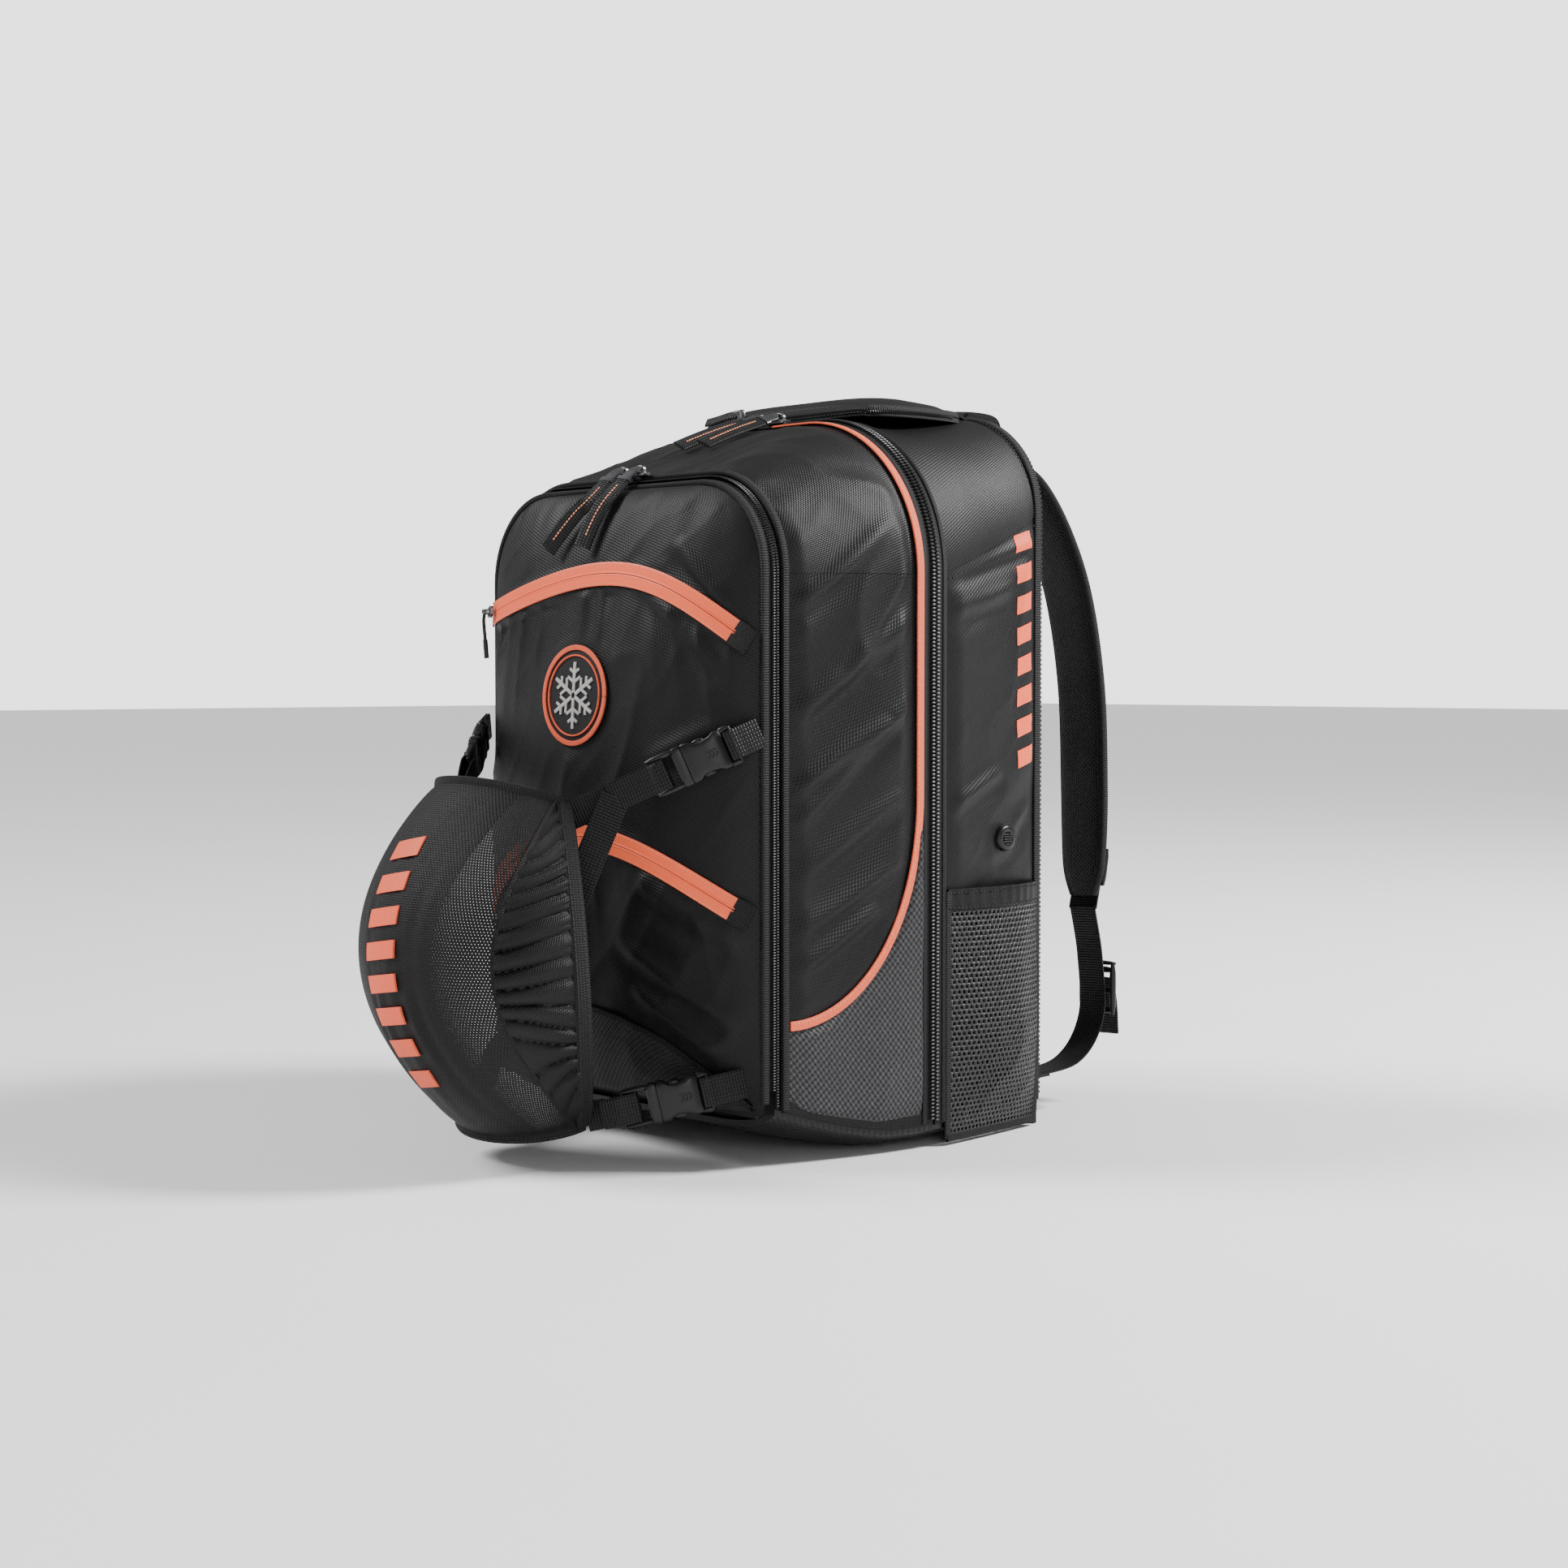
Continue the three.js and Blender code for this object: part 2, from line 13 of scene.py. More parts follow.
import bpy
import numpy as np
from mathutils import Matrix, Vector


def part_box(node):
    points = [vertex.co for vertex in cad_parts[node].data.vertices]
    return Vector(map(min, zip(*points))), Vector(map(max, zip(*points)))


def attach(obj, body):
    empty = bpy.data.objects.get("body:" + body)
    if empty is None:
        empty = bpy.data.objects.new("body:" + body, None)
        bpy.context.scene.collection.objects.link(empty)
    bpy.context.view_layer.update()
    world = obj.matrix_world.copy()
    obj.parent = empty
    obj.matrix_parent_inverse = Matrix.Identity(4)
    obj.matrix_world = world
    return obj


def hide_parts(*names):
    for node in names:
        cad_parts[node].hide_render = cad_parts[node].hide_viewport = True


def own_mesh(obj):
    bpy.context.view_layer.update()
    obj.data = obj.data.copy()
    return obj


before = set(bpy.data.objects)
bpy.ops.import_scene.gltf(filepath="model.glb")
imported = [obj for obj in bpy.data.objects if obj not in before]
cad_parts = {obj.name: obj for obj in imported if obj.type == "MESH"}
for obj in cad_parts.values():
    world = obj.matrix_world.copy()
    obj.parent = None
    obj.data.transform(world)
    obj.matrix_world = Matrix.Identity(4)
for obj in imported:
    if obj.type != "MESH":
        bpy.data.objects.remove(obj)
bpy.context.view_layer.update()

LOG = logging.getLogger("boot_bag")
MM = 0.001
ZIP_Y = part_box("main_zip_front")[1].y / MM + 0.15  # the plane of the main zip in the frame
SIDES = (("left", -1), ("right", 1))

Array = np.ndarray
Points = Sequence[Sequence[float]]
Colour = tuple[float, float, float]
Socket = bpy.types.NodeSocket
X_AXIS, Y_AXIS, Z_AXIS = np.eye(3)

# ---- the shell's own sizes


BACK = 123.0  # how far the rear half reaches behind the main zip
FRONT = 140.0  # how far the front half and its zip reach before it
POCKET_SEAM = 125.0  # where the front half's cloth ends and the pocket's zip begins
POCKET_ZIP = 132.15  # the middle of the pocket's zip
WALL = 4.0  # a padded wall's thickness
GAP = 0.3  # the room between two pieces sewn side by side
TAPE = 10.0  # half the width of the main zip
TUCK = 13.0  # how far the floor is drawn up at its sides
GIRTH = 640.0  # the way round half the shell, from the middle of its top to its foot
SHOULDER = 0.5004  # the share of that way at which a side wall starts
CROWN = 0.2  # the share of it that lies flat on top
PANEL_Y = 137.3  # the outside of the back panel
FACE_FOOT = 36.0  # the height of the pocket face's lower edge
FACE_BULGE = 45.0  # how far the pocket face is domed
MAIN_TAPE, POCKET_TAPE = (8.6, 1.0), (5.6, 1.0)  # widths and thicknesses of the zips' tapes
POCKET_PIPE = (6.4, 4.2)  # the piping on both sides of the pocket's zip
FOOT_BAND = (9.0, 1.6)  # the binding along the foot of the walls
MAIN_COIL, POCKET_COIL = 1.0, 0.72  # the size of the zips' teeth
TEETH_REAR, TEETH_FRONT = -1.0, 1.0  # the side of a zip's middle that a half's teeth lie on
SHARP = 50  # the angle in degrees at which an edge is drawn sharp


class Body(str, Enum):
    """The bodies that pieces ride on."""

    PACK = "pack"
    FRONT = "front_section"
    POCKET = "front_pocket"
    LID = "goggle_lid"
    LID_SLIDER = "goggle_zip_slider"
    HANDLE = "haul_handle"
    CORAL_SLIDER = "coral_zip_slider"


class Slot(str, Enum):
    """The record's material slots."""

    PACK = "pack_fabric"
    GATHERED = "gathered_fabric"
    BALLISTIC = "ballistic_fabric"
    BASE = "coated_base"
    COIL = "zip_coil"
    CORAL = "coral_tape"
    EMBLEM = "emblem_thread"
    AIR = "air_mesh"
    POUCH = "pocket_mesh"
    NET = "net_mesh"
    WEBBING = "webbing"
    PLASTIC = "buckle_plastic"
    METAL = "slider_metal"


# ---- numbers and curves


def mix(a: Array, b: Array, t: Array) -> Array:
    """Returns the value a share t of the way from a to b."""
    return a + (b - a) * t


def smooth(t: Array) -> Array:
    """Returns 3t^2 - 2t^3, which leaves 0 and reaches 1 without a corner."""
    return t * t * (3 - 2 * t)


def stack(x: Array, y: Array, z: Array) -> Array:
    """Returns points from their coordinates, which may be single numbers."""
    return np.stack(np.broadcast_arrays(x, y, z), -1).astype(float)


def unit(v: Array) -> Array:
    """Returns vectors scaled to length one."""
    return v / np.maximum(np.linalg.norm(v, axis=-1, keepdims=True), 1e-9)


def lengths(path: Array) -> Array:
    """Returns the distance along a path at each of its points."""
    steps = np.linalg.norm(np.diff(path, axis=0), axis=1)
    return np.concatenate([[0.0], np.cumsum(steps)])


def smooth_curve(points: Points, count: int) -> Array:
    """A curve through points, evenly spaced.

    Between two points it is the Catmull-Rom cubic, worked out at once for all steps, and the result
    is read again at equal distances along itself.

    Args:
        points: The places that the curve passes through, in millimetres.
        count: How many points are returned.
    Returns:
        An array of count points.
    """
    p = np.array(points, float)
    p = np.vstack([2 * p[0] - p[1], p, 2 * p[-1] - p[-2]])
    t = np.linspace(0, len(p) - 3 - 1e-9, 24 * len(p))
    i = t.astype(int)
    f = (t - i)[:, None]
    a, b, c, d = p[i], p[i + 1], p[i + 2], p[i + 3]
    fine = 0.5 * (2 * b + (c - a) * f + (2 * a - 5 * b + 4 * c - d) * f**2 + (3 * b - a - 3 * c + d) * f**3)
    return evenly(fine, count)


def evenly(path: Array, count: int) -> Array:
    """Returns a path read again at count equal distances along itself."""
    far = lengths(path)
    return read_at(np.linspace(0, far[-1], count), far, path)


def read_at(at: Array, far: Array, values: Array) -> Array:
    """Returns the columns of values, which stand at distances far, read at other distances."""
    return np.stack([np.interp(at, far, column) for column in values.T], -1)


class Noise:
    """Smooth seeded noise of two coordinates, from -1 to 1.

    Random heights stand on the corners of a square lattice and are joined by the curve 3t^2 - 2t^3.
    """

    def __init__(self, seed: int) -> None:
        """Draws the lattice's heights from a seeded generator."""
        self.lattice = np.random.default_rng(seed).uniform(-1, 1, (64, 64))

    def __call__(self, a: Array, b: Array) -> Array:
        """Returns the noise at a and b, where the lattice has a pitch of 1."""
        a, b = np.broadcast_arrays(np.asarray(a, float), np.asarray(b, float))
        i, j = np.floor(a).astype(int), np.floor(b).astype(int)
        f, g = a - i, b - j
        f, g = smooth(f), smooth(g)
        grid = self.lattice
        low = mix(grid[i % 64, j % 64], grid[(i + 1) % 64, j % 64], f)
        high = mix(grid[i % 64, (j + 1) % 64], grid[(i + 1) % 64, (j + 1) % 64], f)
        return mix(low, high, g)

    def folds(self, a: Array, b: Array, angle: float, across: float, along: float) -> Array:
        """Long folds: noise stretched along one direction, with sharp crests.

        Args:
            a: The first coordinate in millimetres.
            b: The second coordinate in millimetres.
            angle: The direction of the folds, in degrees from the first coordinate.
            across: The distance from one fold to the next, in millimetres.
            along: The length over which a fold fades, in millimetres.
        Returns:
            Heights from about -1 in the hollows to 1 on the crests.
        """
        c, s = math.cos(math.radians(angle)), math.sin(math.radians(angle))
        u, v = (a * c + b * s) / along, (b * c - a * s) / across
        bend = 0.6 * self(u * 1.7 + 9, v * 0.4 + 3)
        soft = self(u, v + bend)
        crest = 1 - 2 * np.abs(self(u + 20, v * 0.8 + bend + 31)) ** 0.7
        return 0.6 * soft + 0.45 * crest


def crease(a: Array, b: Array, ends: Sequence[float], width: float, height: float) -> Array:
    """One crease: a crest with a hollow on its lower side, fading towards both ends.

    The crest is a bell curve of the distance from the line, and the hollow is a wider one, one and a
    half widths to its side.

    Args:
        a: The first coordinate.
        b: The second coordinate.
        ends: The line's two ends, as a0, b0, a1 and b1.
        width: The crest's half width.
        height: The crest's height.
    Returns:
        The height of the crease at each place.
    """
    a0, b0, a1, b1 = ends
    run = math.hypot(a1 - a0, b1 - b0)
    c, s = (a1 - a0) / run, (b1 - b0) / run
    far = ((a - a0) * c + (b - b0) * s) / run
    off = (b - b0) * c - (a - a0) * s
    fade = np.clip(1 - (2 * far - 1) ** 4, 0, 1) * (np.abs(2 * far - 1) < 1)
    crest = np.exp(-((off / width) ** 2)) - 0.7 * np.exp(-(((off + 1.5 * width) / (1.3 * width)) ** 2))
    return height * crest * fade


# ---- closed forms


@dataclass
class Form:
    """A closed form that isn't yet a mesh.

    Fields:
        points: Its points in millimetres.
        quads: Its four-sided faces.
        caps: The faces that close its ends, with any number of sides.
        cloth: For each point, its place on the flat cloth in metres.
    """

    points: Array
    quads: Array
    caps: list[Array]
    cloth: Array

    def volume(self) -> float:
        """Returns six times the volume, negative where the faces point inwards."""
        middle = self.points.mean(0)
        p = self.points - middle
        total = 0.0
        for i, j, k in ((0, 1, 2), (0, 2, 3)):
            if len(self.quads):
                a, b, c = p[self.quads[:, i]], p[self.quads[:, j]], p[self.quads[:, k]]
                total += float((a * np.cross(b, c)).sum())
        for cap in self.caps:
            a, b, c = p[cap[0]], p[cap[1:-1]], p[cap[2:]]
            total += float((a * np.cross(b, c)).sum())
        return total

    def outward(self) -> "Form":
        """Returns the form with its faces pointing outwards."""
        if self.volume() >= 0:
            return self
        return Form(self.points, self.quads[:, ::-1], [c[::-1] for c in self.caps], self.cloth)

    def mapped(self, where: Callable[[Array], Array]) -> "Form":
        """Returns the form with its points moved by a function, and its faces outwards again."""
        return Form(where(self.points), self.quads, self.caps, self.cloth).outward()


def together(forms: Sequence[Form]) -> Form:
    """Returns several forms as one."""
    start = np.cumsum([0] + [len(f.points) for f in forms])
    return Form(
        np.vstack([f.points for f in forms]),
        np.vstack([f.quads + s for f, s in zip(forms, start)]),
        [c + s for f, s in zip(forms, start) for c in f.caps],
        np.vstack([f.cloth for f in forms]),
    )


def slab(outer: Array, inner: Array, flat: Optional[Array] = None) -> Form:
    """A sheet with a thickness, from the grids of its two sides.

    The grids' points become the two sides, and four rows of faces join their borders. The place on
    the flat cloth is as given, or else the distance along the middle row and the middle column.

    Args:
        outer: Points of the outer side, as rows and columns.
        inner: Points of the inner side, in the same order.
        flat: For each point, its place on the flat cloth, in millimetres.
    Returns:
        The closed form.
    """
    nu, nv = outer.shape[:2]
    index = np.arange(nu * nv).reshape(nu, nv)
    face = np.stack([index[:-1, :-1], index[1:, :-1], index[1:, 1:], index[:-1, 1:]], -1).reshape(-1, 4)
    border = np.concatenate([index[:-1, 0], index[-1, :-1], index[:0:-1, -1], index[0, :0:-1]])
    after = np.roll(border, -1)
    far = nu * nv
    rim = np.stack([after, border, border + far, after + far], -1)
    quads = np.vstack([face, face[:, ::-1] + far, rim])
    if flat is None:
        flat = np.stack(np.meshgrid(lengths(outer[:, nv // 2]), lengths(outer[nu // 2]), indexing="ij"), -1)
    cloth = flat.reshape(-1, 2) * MM
    points = np.vstack([outer.reshape(-1, 3), inner.reshape(-1, 3)])
    return Form(points, quads, [], np.vstack([cloth, cloth])).outward()


def rings(around: Array, cloth: Array, loop: bool = False) -> Form:
    """A form lofted through rings of points.

    Args:
        around: The rings, as ring, place round the ring, and coordinates.
        cloth: The place on the flat cloth of each of those points, in metres.
        loop: True if the last ring joins the first, and the ends need no caps.
    Returns:
        The closed form.
    """
    m, k = around.shape[:2]
    index = np.arange(m * k).reshape(m, k)
    low = index if loop else index[:-1]
    high = np.roll(index, -1, 0) if loop else index[1:]
    quads = np.stack([low, np.roll(low, -1, 1), np.roll(high, -1, 1), high], -1).reshape(-1, 4)
    caps = [] if loop else [index[0, ::-1].copy(), index[-1].copy()]
    return Form(around.reshape(-1, 3), quads, caps, cloth.reshape(-1, 2)).outward()


class Profile(Enum):
    """Cross-sections of things carried along a path, as width and thickness from -0.5 to 0.5."""

    FLAT = 2.6
    ROUND = 1.0
    PAD = 1.5


def outline(profile: Profile, sides: int) -> Array:
    """A superellipse: the cosine and sine of the angle, each raised to the power of 1 over the squareness.

    Args:
        profile: How square it is.
        sides: How many points it has.
    Returns:
        Points round the outline, in halves.
    """
    angle = (np.arange(sides) + 0.5) / sides * 2 * np.pi
    c, s = np.cos(angle), np.sin(angle)
    power = 1 / profile.value
    return 0.5 * np.stack([np.sign(c) * np.abs(c) ** power, np.sign(s) * np.abs(s) ** (power * 0.9)], -1)


@dataclass
class Track:
    """A path with a direction across it and a direction out of it at each point.

    Fields:
        path: The points, in millimetres.
        across: Unit vectors along the width.
        out: Unit vectors along the thickness.
    """

    path: Array
    across: Array
    out: Array

    @classmethod
    def facing(cls, path: Array, out: Array) -> "Track":
        """Returns the track of a path whose outside looks along given vectors."""
        return cls.squared(path, unit(np.gradient(path, axis=0)), out)

    @classmethod
    def wide(cls, path: Array, wide: Array) -> "Track":
        """Returns the track of a path whose width lies along given vectors, squared to the path."""
        along = unit(np.gradient(path, axis=0))
        out = unit(np.cross(np.broadcast_to(wide, path.shape), along))
        return cls(path, np.cross(along, out), out)

    @classmethod
    def looped(cls, path: Array, out: Array) -> "Track":
        """Returns the track of a closed path whose outside looks along given vectors."""
        return cls.squared(path, unit(np.roll(path, -1, 0) - np.roll(path, 1, 0)), out)

    @classmethod
    def squared(cls, path: Array, along: Array, out: Array) -> "Track":
        """Returns the track of a path that runs along given vectors, with its outside squared to them."""
        out = np.broadcast_to(out, path.shape)
        out = unit(out - (out * along).sum(-1, keepdims=True) * along)
        return cls(path, np.cross(along, out), out)

    def part(self, start: float, end: float, count: int) -> "Track":
        """Returns a stretch of the track between two shares of its length, evenly spaced."""
        return self.read(np.linspace(start, end, count) * lengths(self.path)[-1])

    def read(self, at: Array) -> "Track":
        """Returns the track at given distances along itself."""
        far = lengths(self.path)
        path, across, out = (read_at(at, far, v) for v in (self.path, self.across, self.out))
        return Track(path, unit(across), unit(out))

    def moved(self, aside: float = 0.0, up: float = 0.0) -> "Track":
        """Returns the track shifted along its width and its thickness."""
        return Track(self.path + self.across * aside + self.out * up, self.across, self.out)

    def ribbon(
        self, width: Array, thick: Array, profile: Profile = Profile.FLAT, sides: int = 12, loop: bool = False
    ) -> Form:
        """A band carried along the track.

        Each ring is the profile's outline, scaled by the width and the thickness, at one point of
        the path. The place on the cloth is the distance along the path and across the band.

        Args:
            width: The band's width, one number or one for each point.
            thick: Its thickness, in the same way.
            profile: The shape of its cross-section.
            sides: How many points the cross-section has.
            loop: True for a closed path.
        Returns:
            The closed form.
        """
        shape = outline(profile, sides)
        n = len(self.path)
        w = np.broadcast_to(width, (n,))[:, None] * shape[:, 0]
        t = np.broadcast_to(thick, (n,))[:, None] * shape[:, 1]
        around = self.path[:, None] + self.across[:, None] * w[..., None] + self.out[:, None] * t[..., None]
        far = np.broadcast_to(lengths(self.path)[:, None], w.shape)
        return rings(around, np.stack([far, w], -1) * MM, loop)

    def repeated(self, pitch: float, proto: Form, shift: float = 0.0) -> Form:
        """One small form set again and again along the track.

        Args:
            pitch: The distance from one to the next.
            proto: The form, with X along the path, Y along the width and Z outwards.
            shift: How far along the path the first one stands.
        Returns:
            All of them as one form.
        """
        at = np.arange(shift + pitch / 2, lengths(self.path)[-1] - pitch / 2 + 1e-6, pitch)
        here = self.read(at)
        along = np.cross(here.out, here.across)
        p = proto.points
        placed = (
            here.path[:, None]
            + along[:, None] * p[None, :, :1]
            + here.across[:, None] * p[None, :, 1:2]
            + here.out[:, None] * p[None, :, 2:]
        )
        n, m = len(at), len(p)
        step = (np.arange(n) * m)[:, None, None]
        quads = (proto.quads[None] + step).reshape(-1, 4)
        caps = [cap + i * m for i in range(n) for cap in proto.caps]
        cloth = np.tile(proto.cloth, (n, 1)) + np.repeat(at * MM, m)[:, None] * (1.0, 0.0)
        return Form(placed.reshape(-1, 3), quads, caps, cloth)


def bead(length: float, width: float, height: float, steps: int = 4, sides: int = 6) -> Form:
    """A small rounded bar with its length along X, resting on Z = 0, for teeth and stitches.

    Its rings grow and shrink along it as the square root of 1 minus the fourth power of the distance
    from its middle.

    Args:
        length: Its length.
        width: Its width.
        height: Its height.
        steps: How many rings it has.
        sides: How many points each ring has.
    Returns:
        The closed form.
    """
    t = np.linspace(-1, 1, steps)
    swell = np.sqrt(np.clip(1 - 0.82 * t**4, 0, 1))[:, None]
    shape = outline(Profile.ROUND, sides)
    x = np.broadcast_to((t * length / 2)[:, None], (steps, sides))
    y = swell * shape[:, 0] * width
    z = swell * shape[:, 1] * height + height / 2
    return rings(np.stack([x, y, z], -1), np.stack([x, y], -1) * MM)


def tooth(width: float, height: float, length: float) -> Form:
    """Returns one zip tooth, a bead that lies across the track."""
    return bead(length, width, height).mapped(lambda p: p[:, [1, 0, 2]])


# ---- the shell and what lies on it


def section(y: Array) -> tuple[Array, Array, Array, Array]:
    """The shell's cross-section at a depth.

    Each size goes from its value at the main zip to its value at the end of that half, with the
    share of the depth raised to the power of 1.3.

    Args:
        y: The depth, negative in the front half.
    Returns:
        Half the width, the top, the floor's height and the corner radius.
    """
    y = np.asarray(y, float)
    t = np.abs(y) / np.where(y < 0, FRONT, BACK)
    ease = t**1.3
    half = mix(166.0, np.where(y < 0, 145.0, 152.0), ease)
    top = mix(510.0, np.where(y < 0, 458.0, 518.0), ease)
    floor = np.where(y < 0, 26 * np.clip((t - 0.25) / 0.75, 0, None) ** 1.4, 0.0)
    radius = mix(112.0, np.where(y < 0, 62.0, 72.0), ease)
    return half, top, floor, radius


FACE_TOP = float(section(-FRONT)[1])


def foot(floor: Array) -> Array:
    """Returns the height of the foot of a side wall over a floor."""
    return floor + TUCK + WALL + 3 * GAP


def shell(s: Array, y: Array, proud: Array = 0.0) -> Array:
    """A point of the shell, from its place round it and its depth.

    Up to the crown it is flat, then a quarter circle to the shoulder, then upright to its foot.

    Args:
        s: The place round the shell, from -1 at the left foot, over the top at 0, to 1.
        y: The depth in front of (negative) or behind the main zip.
        proud: How far outside the shell the point stands.
    Returns:
        The points.
    """
    s, y, proud = np.broadcast_arrays(np.asarray(s, float), np.asarray(y, float), np.asarray(proud, float))
    half, top, floor, radius = section(y)
    side, a = np.sign(s), np.abs(s)
    turn = np.clip((a - CROWN) / (SHOULDER - CROWN), 0, 1) * np.pi / 2
    r = radius + proud
    x = np.where(a <= CROWN, (half - radius) * a / CROWN, half - radius + r * np.sin(turn))
    z = np.where(a <= CROWN, top + proud, top - radius + r * np.cos(turn))
    down = mix(top - radius, foot(floor), (a - SHOULDER) / (1 - SHOULDER))
    return stack(side * x, y, np.where(a > SHOULDER, down, z))


def wall_at(z: Array, y: Array) -> Array:
    """Returns the place round the shell at height z on the upright wall at depth y."""
    _, top, floor, radius = section(y)
    return mix(SHOULDER, 1.0, (top - radius - z) / (top - radius - foot(floor)))


def cut_flat(y: Array, s: Array) -> Array:
    """Returns the place on the flat cloth of the shell's points: depth, and half the girth times s."""
    return np.stack(np.broadcast_arrays(y, GIRTH * s), -1)


def wall_slab(side: Array, s: Array, y: Array, proud: Array) -> Form:
    """Returns a wall whose outside stands proud of the shell, and whose lining follows it half as far."""
    return slab(shell(side * s, y, proud), shell(side * s, y, proud * 0.5 - WALL), cut_flat(y, s))


def on_shell(s: Array, y: Array, proud: float = 0.0) -> Track:
    """Returns the track over the shell along places s and depths y."""
    s, y = np.broadcast_arrays(np.asarray(s, float), np.asarray(y, float))
    path = shell(s, y, proud)
    return Track.facing(path, unit(shell(s, y, proud + 1) - path))


PIPING_TOP, PIPING_DROP, PIPING_START = 246.0, 155.0, -14.0


def piping_height(y: Array) -> Array:
    """Returns the height at which the coral tape crosses depth y, a quarter of an ellipse."""
    t = np.clip((y + POCKET_SEAM) / (POCKET_SEAM + PIPING_START), 0, 1)
    return PIPING_TOP - PIPING_DROP * np.sqrt(1 - t * t)


def face_half(z: Array) -> Array:
    """Returns half the width of the pocket face at height z."""
    half, top, _, radius = section(-FRONT)
    return reach_at(z, half, top, radius)


def reach_at(z: Array, half: float, top: float, radius: float) -> Array:
    """Returns half an arch's width at height z: upright sides, then quarter circles to its top."""
    up = np.clip(z - (top - radius), 0, None)
    return half - radius + np.sqrt(np.clip(radius**2 - up**2, 0, None))


def face_swell(x: Array, z: Array) -> Array:
    """Returns the share of its bulge that the face has at x and z, steep at its edge and flat inside."""
    across = np.clip(np.abs(x) / np.maximum(face_half(z), 1.0), 0, 1)
    up = np.clip((z - FACE_FOOT) / (FACE_TOP - FACE_FOOT), 0, 1)
    return (1 - across**2.8) ** 0.75 * (4 * up * (1 - up)) ** 0.42


def upper_arch(x: Array) -> Array:
    """Returns the height of the upper coral zip at x."""
    t = (np.asarray(x, float) - 22) / 100
    return 398 - 23.9 * t**2 - 8.9 * t**3


def lower_arch(x: Array) -> Array:
    """Returns the height of the lower coral zip at x."""
    t = (np.asarray(x, float) - 10) / 100
    return 218 - 29.6 * t**2


# ---- finishes


class Wiring:
    """Lays the nodes of one material."""

    def __init__(self, name: str, roughness: float) -> None:
        """Makes the material with its shader, at one roughness."""
        self.material = bpy.data.materials.new(name)
        self.material.use_nodes = True
        self.tree = self.material.node_tree
        self.shader = next(n for n in self.tree.nodes if n.type == "BSDF_PRINCIPLED")
        self.output = next(n for n in self.tree.nodes if n.type == "OUTPUT_MATERIAL")
        self.shader.inputs["Roughness"].default_value = roughness

    def node(self, kind: str, **inputs: object) -> bpy.types.Node:
        """Adds a node and fills its inputs, by socket name with _ for a space, or i0, i1 by number."""
        made = self.tree.nodes.new(kind)
        for key, value in inputs.items():
            numbered = key[0] == "i" and key[1:].isdigit()
            socket = made.inputs[int(key[1:])] if numbered else made.inputs[key.replace("_", " ")]
            if isinstance(value, Socket):
                self.tree.links.new(value, socket)
            else:
                socket.default_value = value
        return made

    def math(self, operation: str, *values: object, clamp: bool = False) -> Socket:
        """Returns the result of a Math node on numbers or sockets."""
        made = self.node("ShaderNodeMath", **{f"i{i}": v for i, v in enumerate(values)})
        made.operation, made.use_clamp = operation, clamp
        return made.outputs[0]

    def flat(self) -> tuple[Socket, Socket]:
        """Returns the two coordinates on the flat cloth, in metres."""
        uv = self.node("ShaderNodeUVMap")
        uv.uv_map = "Cloth"
        split = self.node("ShaderNodeSeparateXYZ", Vector=uv.outputs[0])
        return split.outputs[0], split.outputs[1]

    def noise(self, scale: float, detail: float = 2.0) -> Socket:
        """Returns noise over the object's coordinates, from 0 to 1."""
        place = self.node("ShaderNodeTexCoord").outputs["Object"]
        return self.node("ShaderNodeTexNoise", Vector=place, Scale=scale, Detail=detail).outputs[0]

    def blend(self, share: object, low: Colour, high: Colour) -> Socket:
        """Returns a colour between two colours."""
        made = self.tree.nodes.new("ShaderNodeMix")
        made.data_type = "RGBA"
        made.inputs[6].default_value, made.inputs[7].default_value = (*low, 1.0), (*high, 1.0)
        self.tree.links.new(share, made.inputs[0])
        return made.outputs[2]

    def colour(self, socket: Socket) -> None:
        """Gives the shader its colour."""
        self.tree.links.new(socket, self.shader.inputs["Base Color"])

    def rough(self, socket: Socket, low: float, high: float) -> None:
        """Gives the shader a roughness between two values."""
        spread = self.math("MULTIPLY_ADD", socket, high - low, low)
        self.tree.links.new(spread, self.shader.inputs["Roughness"])

    def bump(self, height: Socket, relief: float, strength: float = 1.0) -> None:
        """Raises the surface by a height from 0 to 1, where 1 is relief millimetres."""
        made = self.node("ShaderNodeBump", Strength=strength, Distance=relief * MM, Height=height)
        self.tree.links.new(made.outputs[0], self.shader.inputs["Normal"])

    def holes(self, solid: Socket) -> None:
        """Makes the surface open where solid is 0."""
        clear = self.node("ShaderNodeBsdfTransparent")
        mixed = self.node("ShaderNodeMixShader", i0=solid, i1=clear.outputs[0], i2=self.shader.outputs[0])
        self.tree.links.new(mixed.outputs[0], self.output.inputs["Surface"])


class Weave(Enum):
    """How a cloth's threads cross."""

    TWILL = "diagonal ribs"
    BASKET = "squares of doubled threads"
    RIBS = "ribs across the band"
    CHEVRON = "ribs that turn at each row"
    KNIT = "round holes between loops"


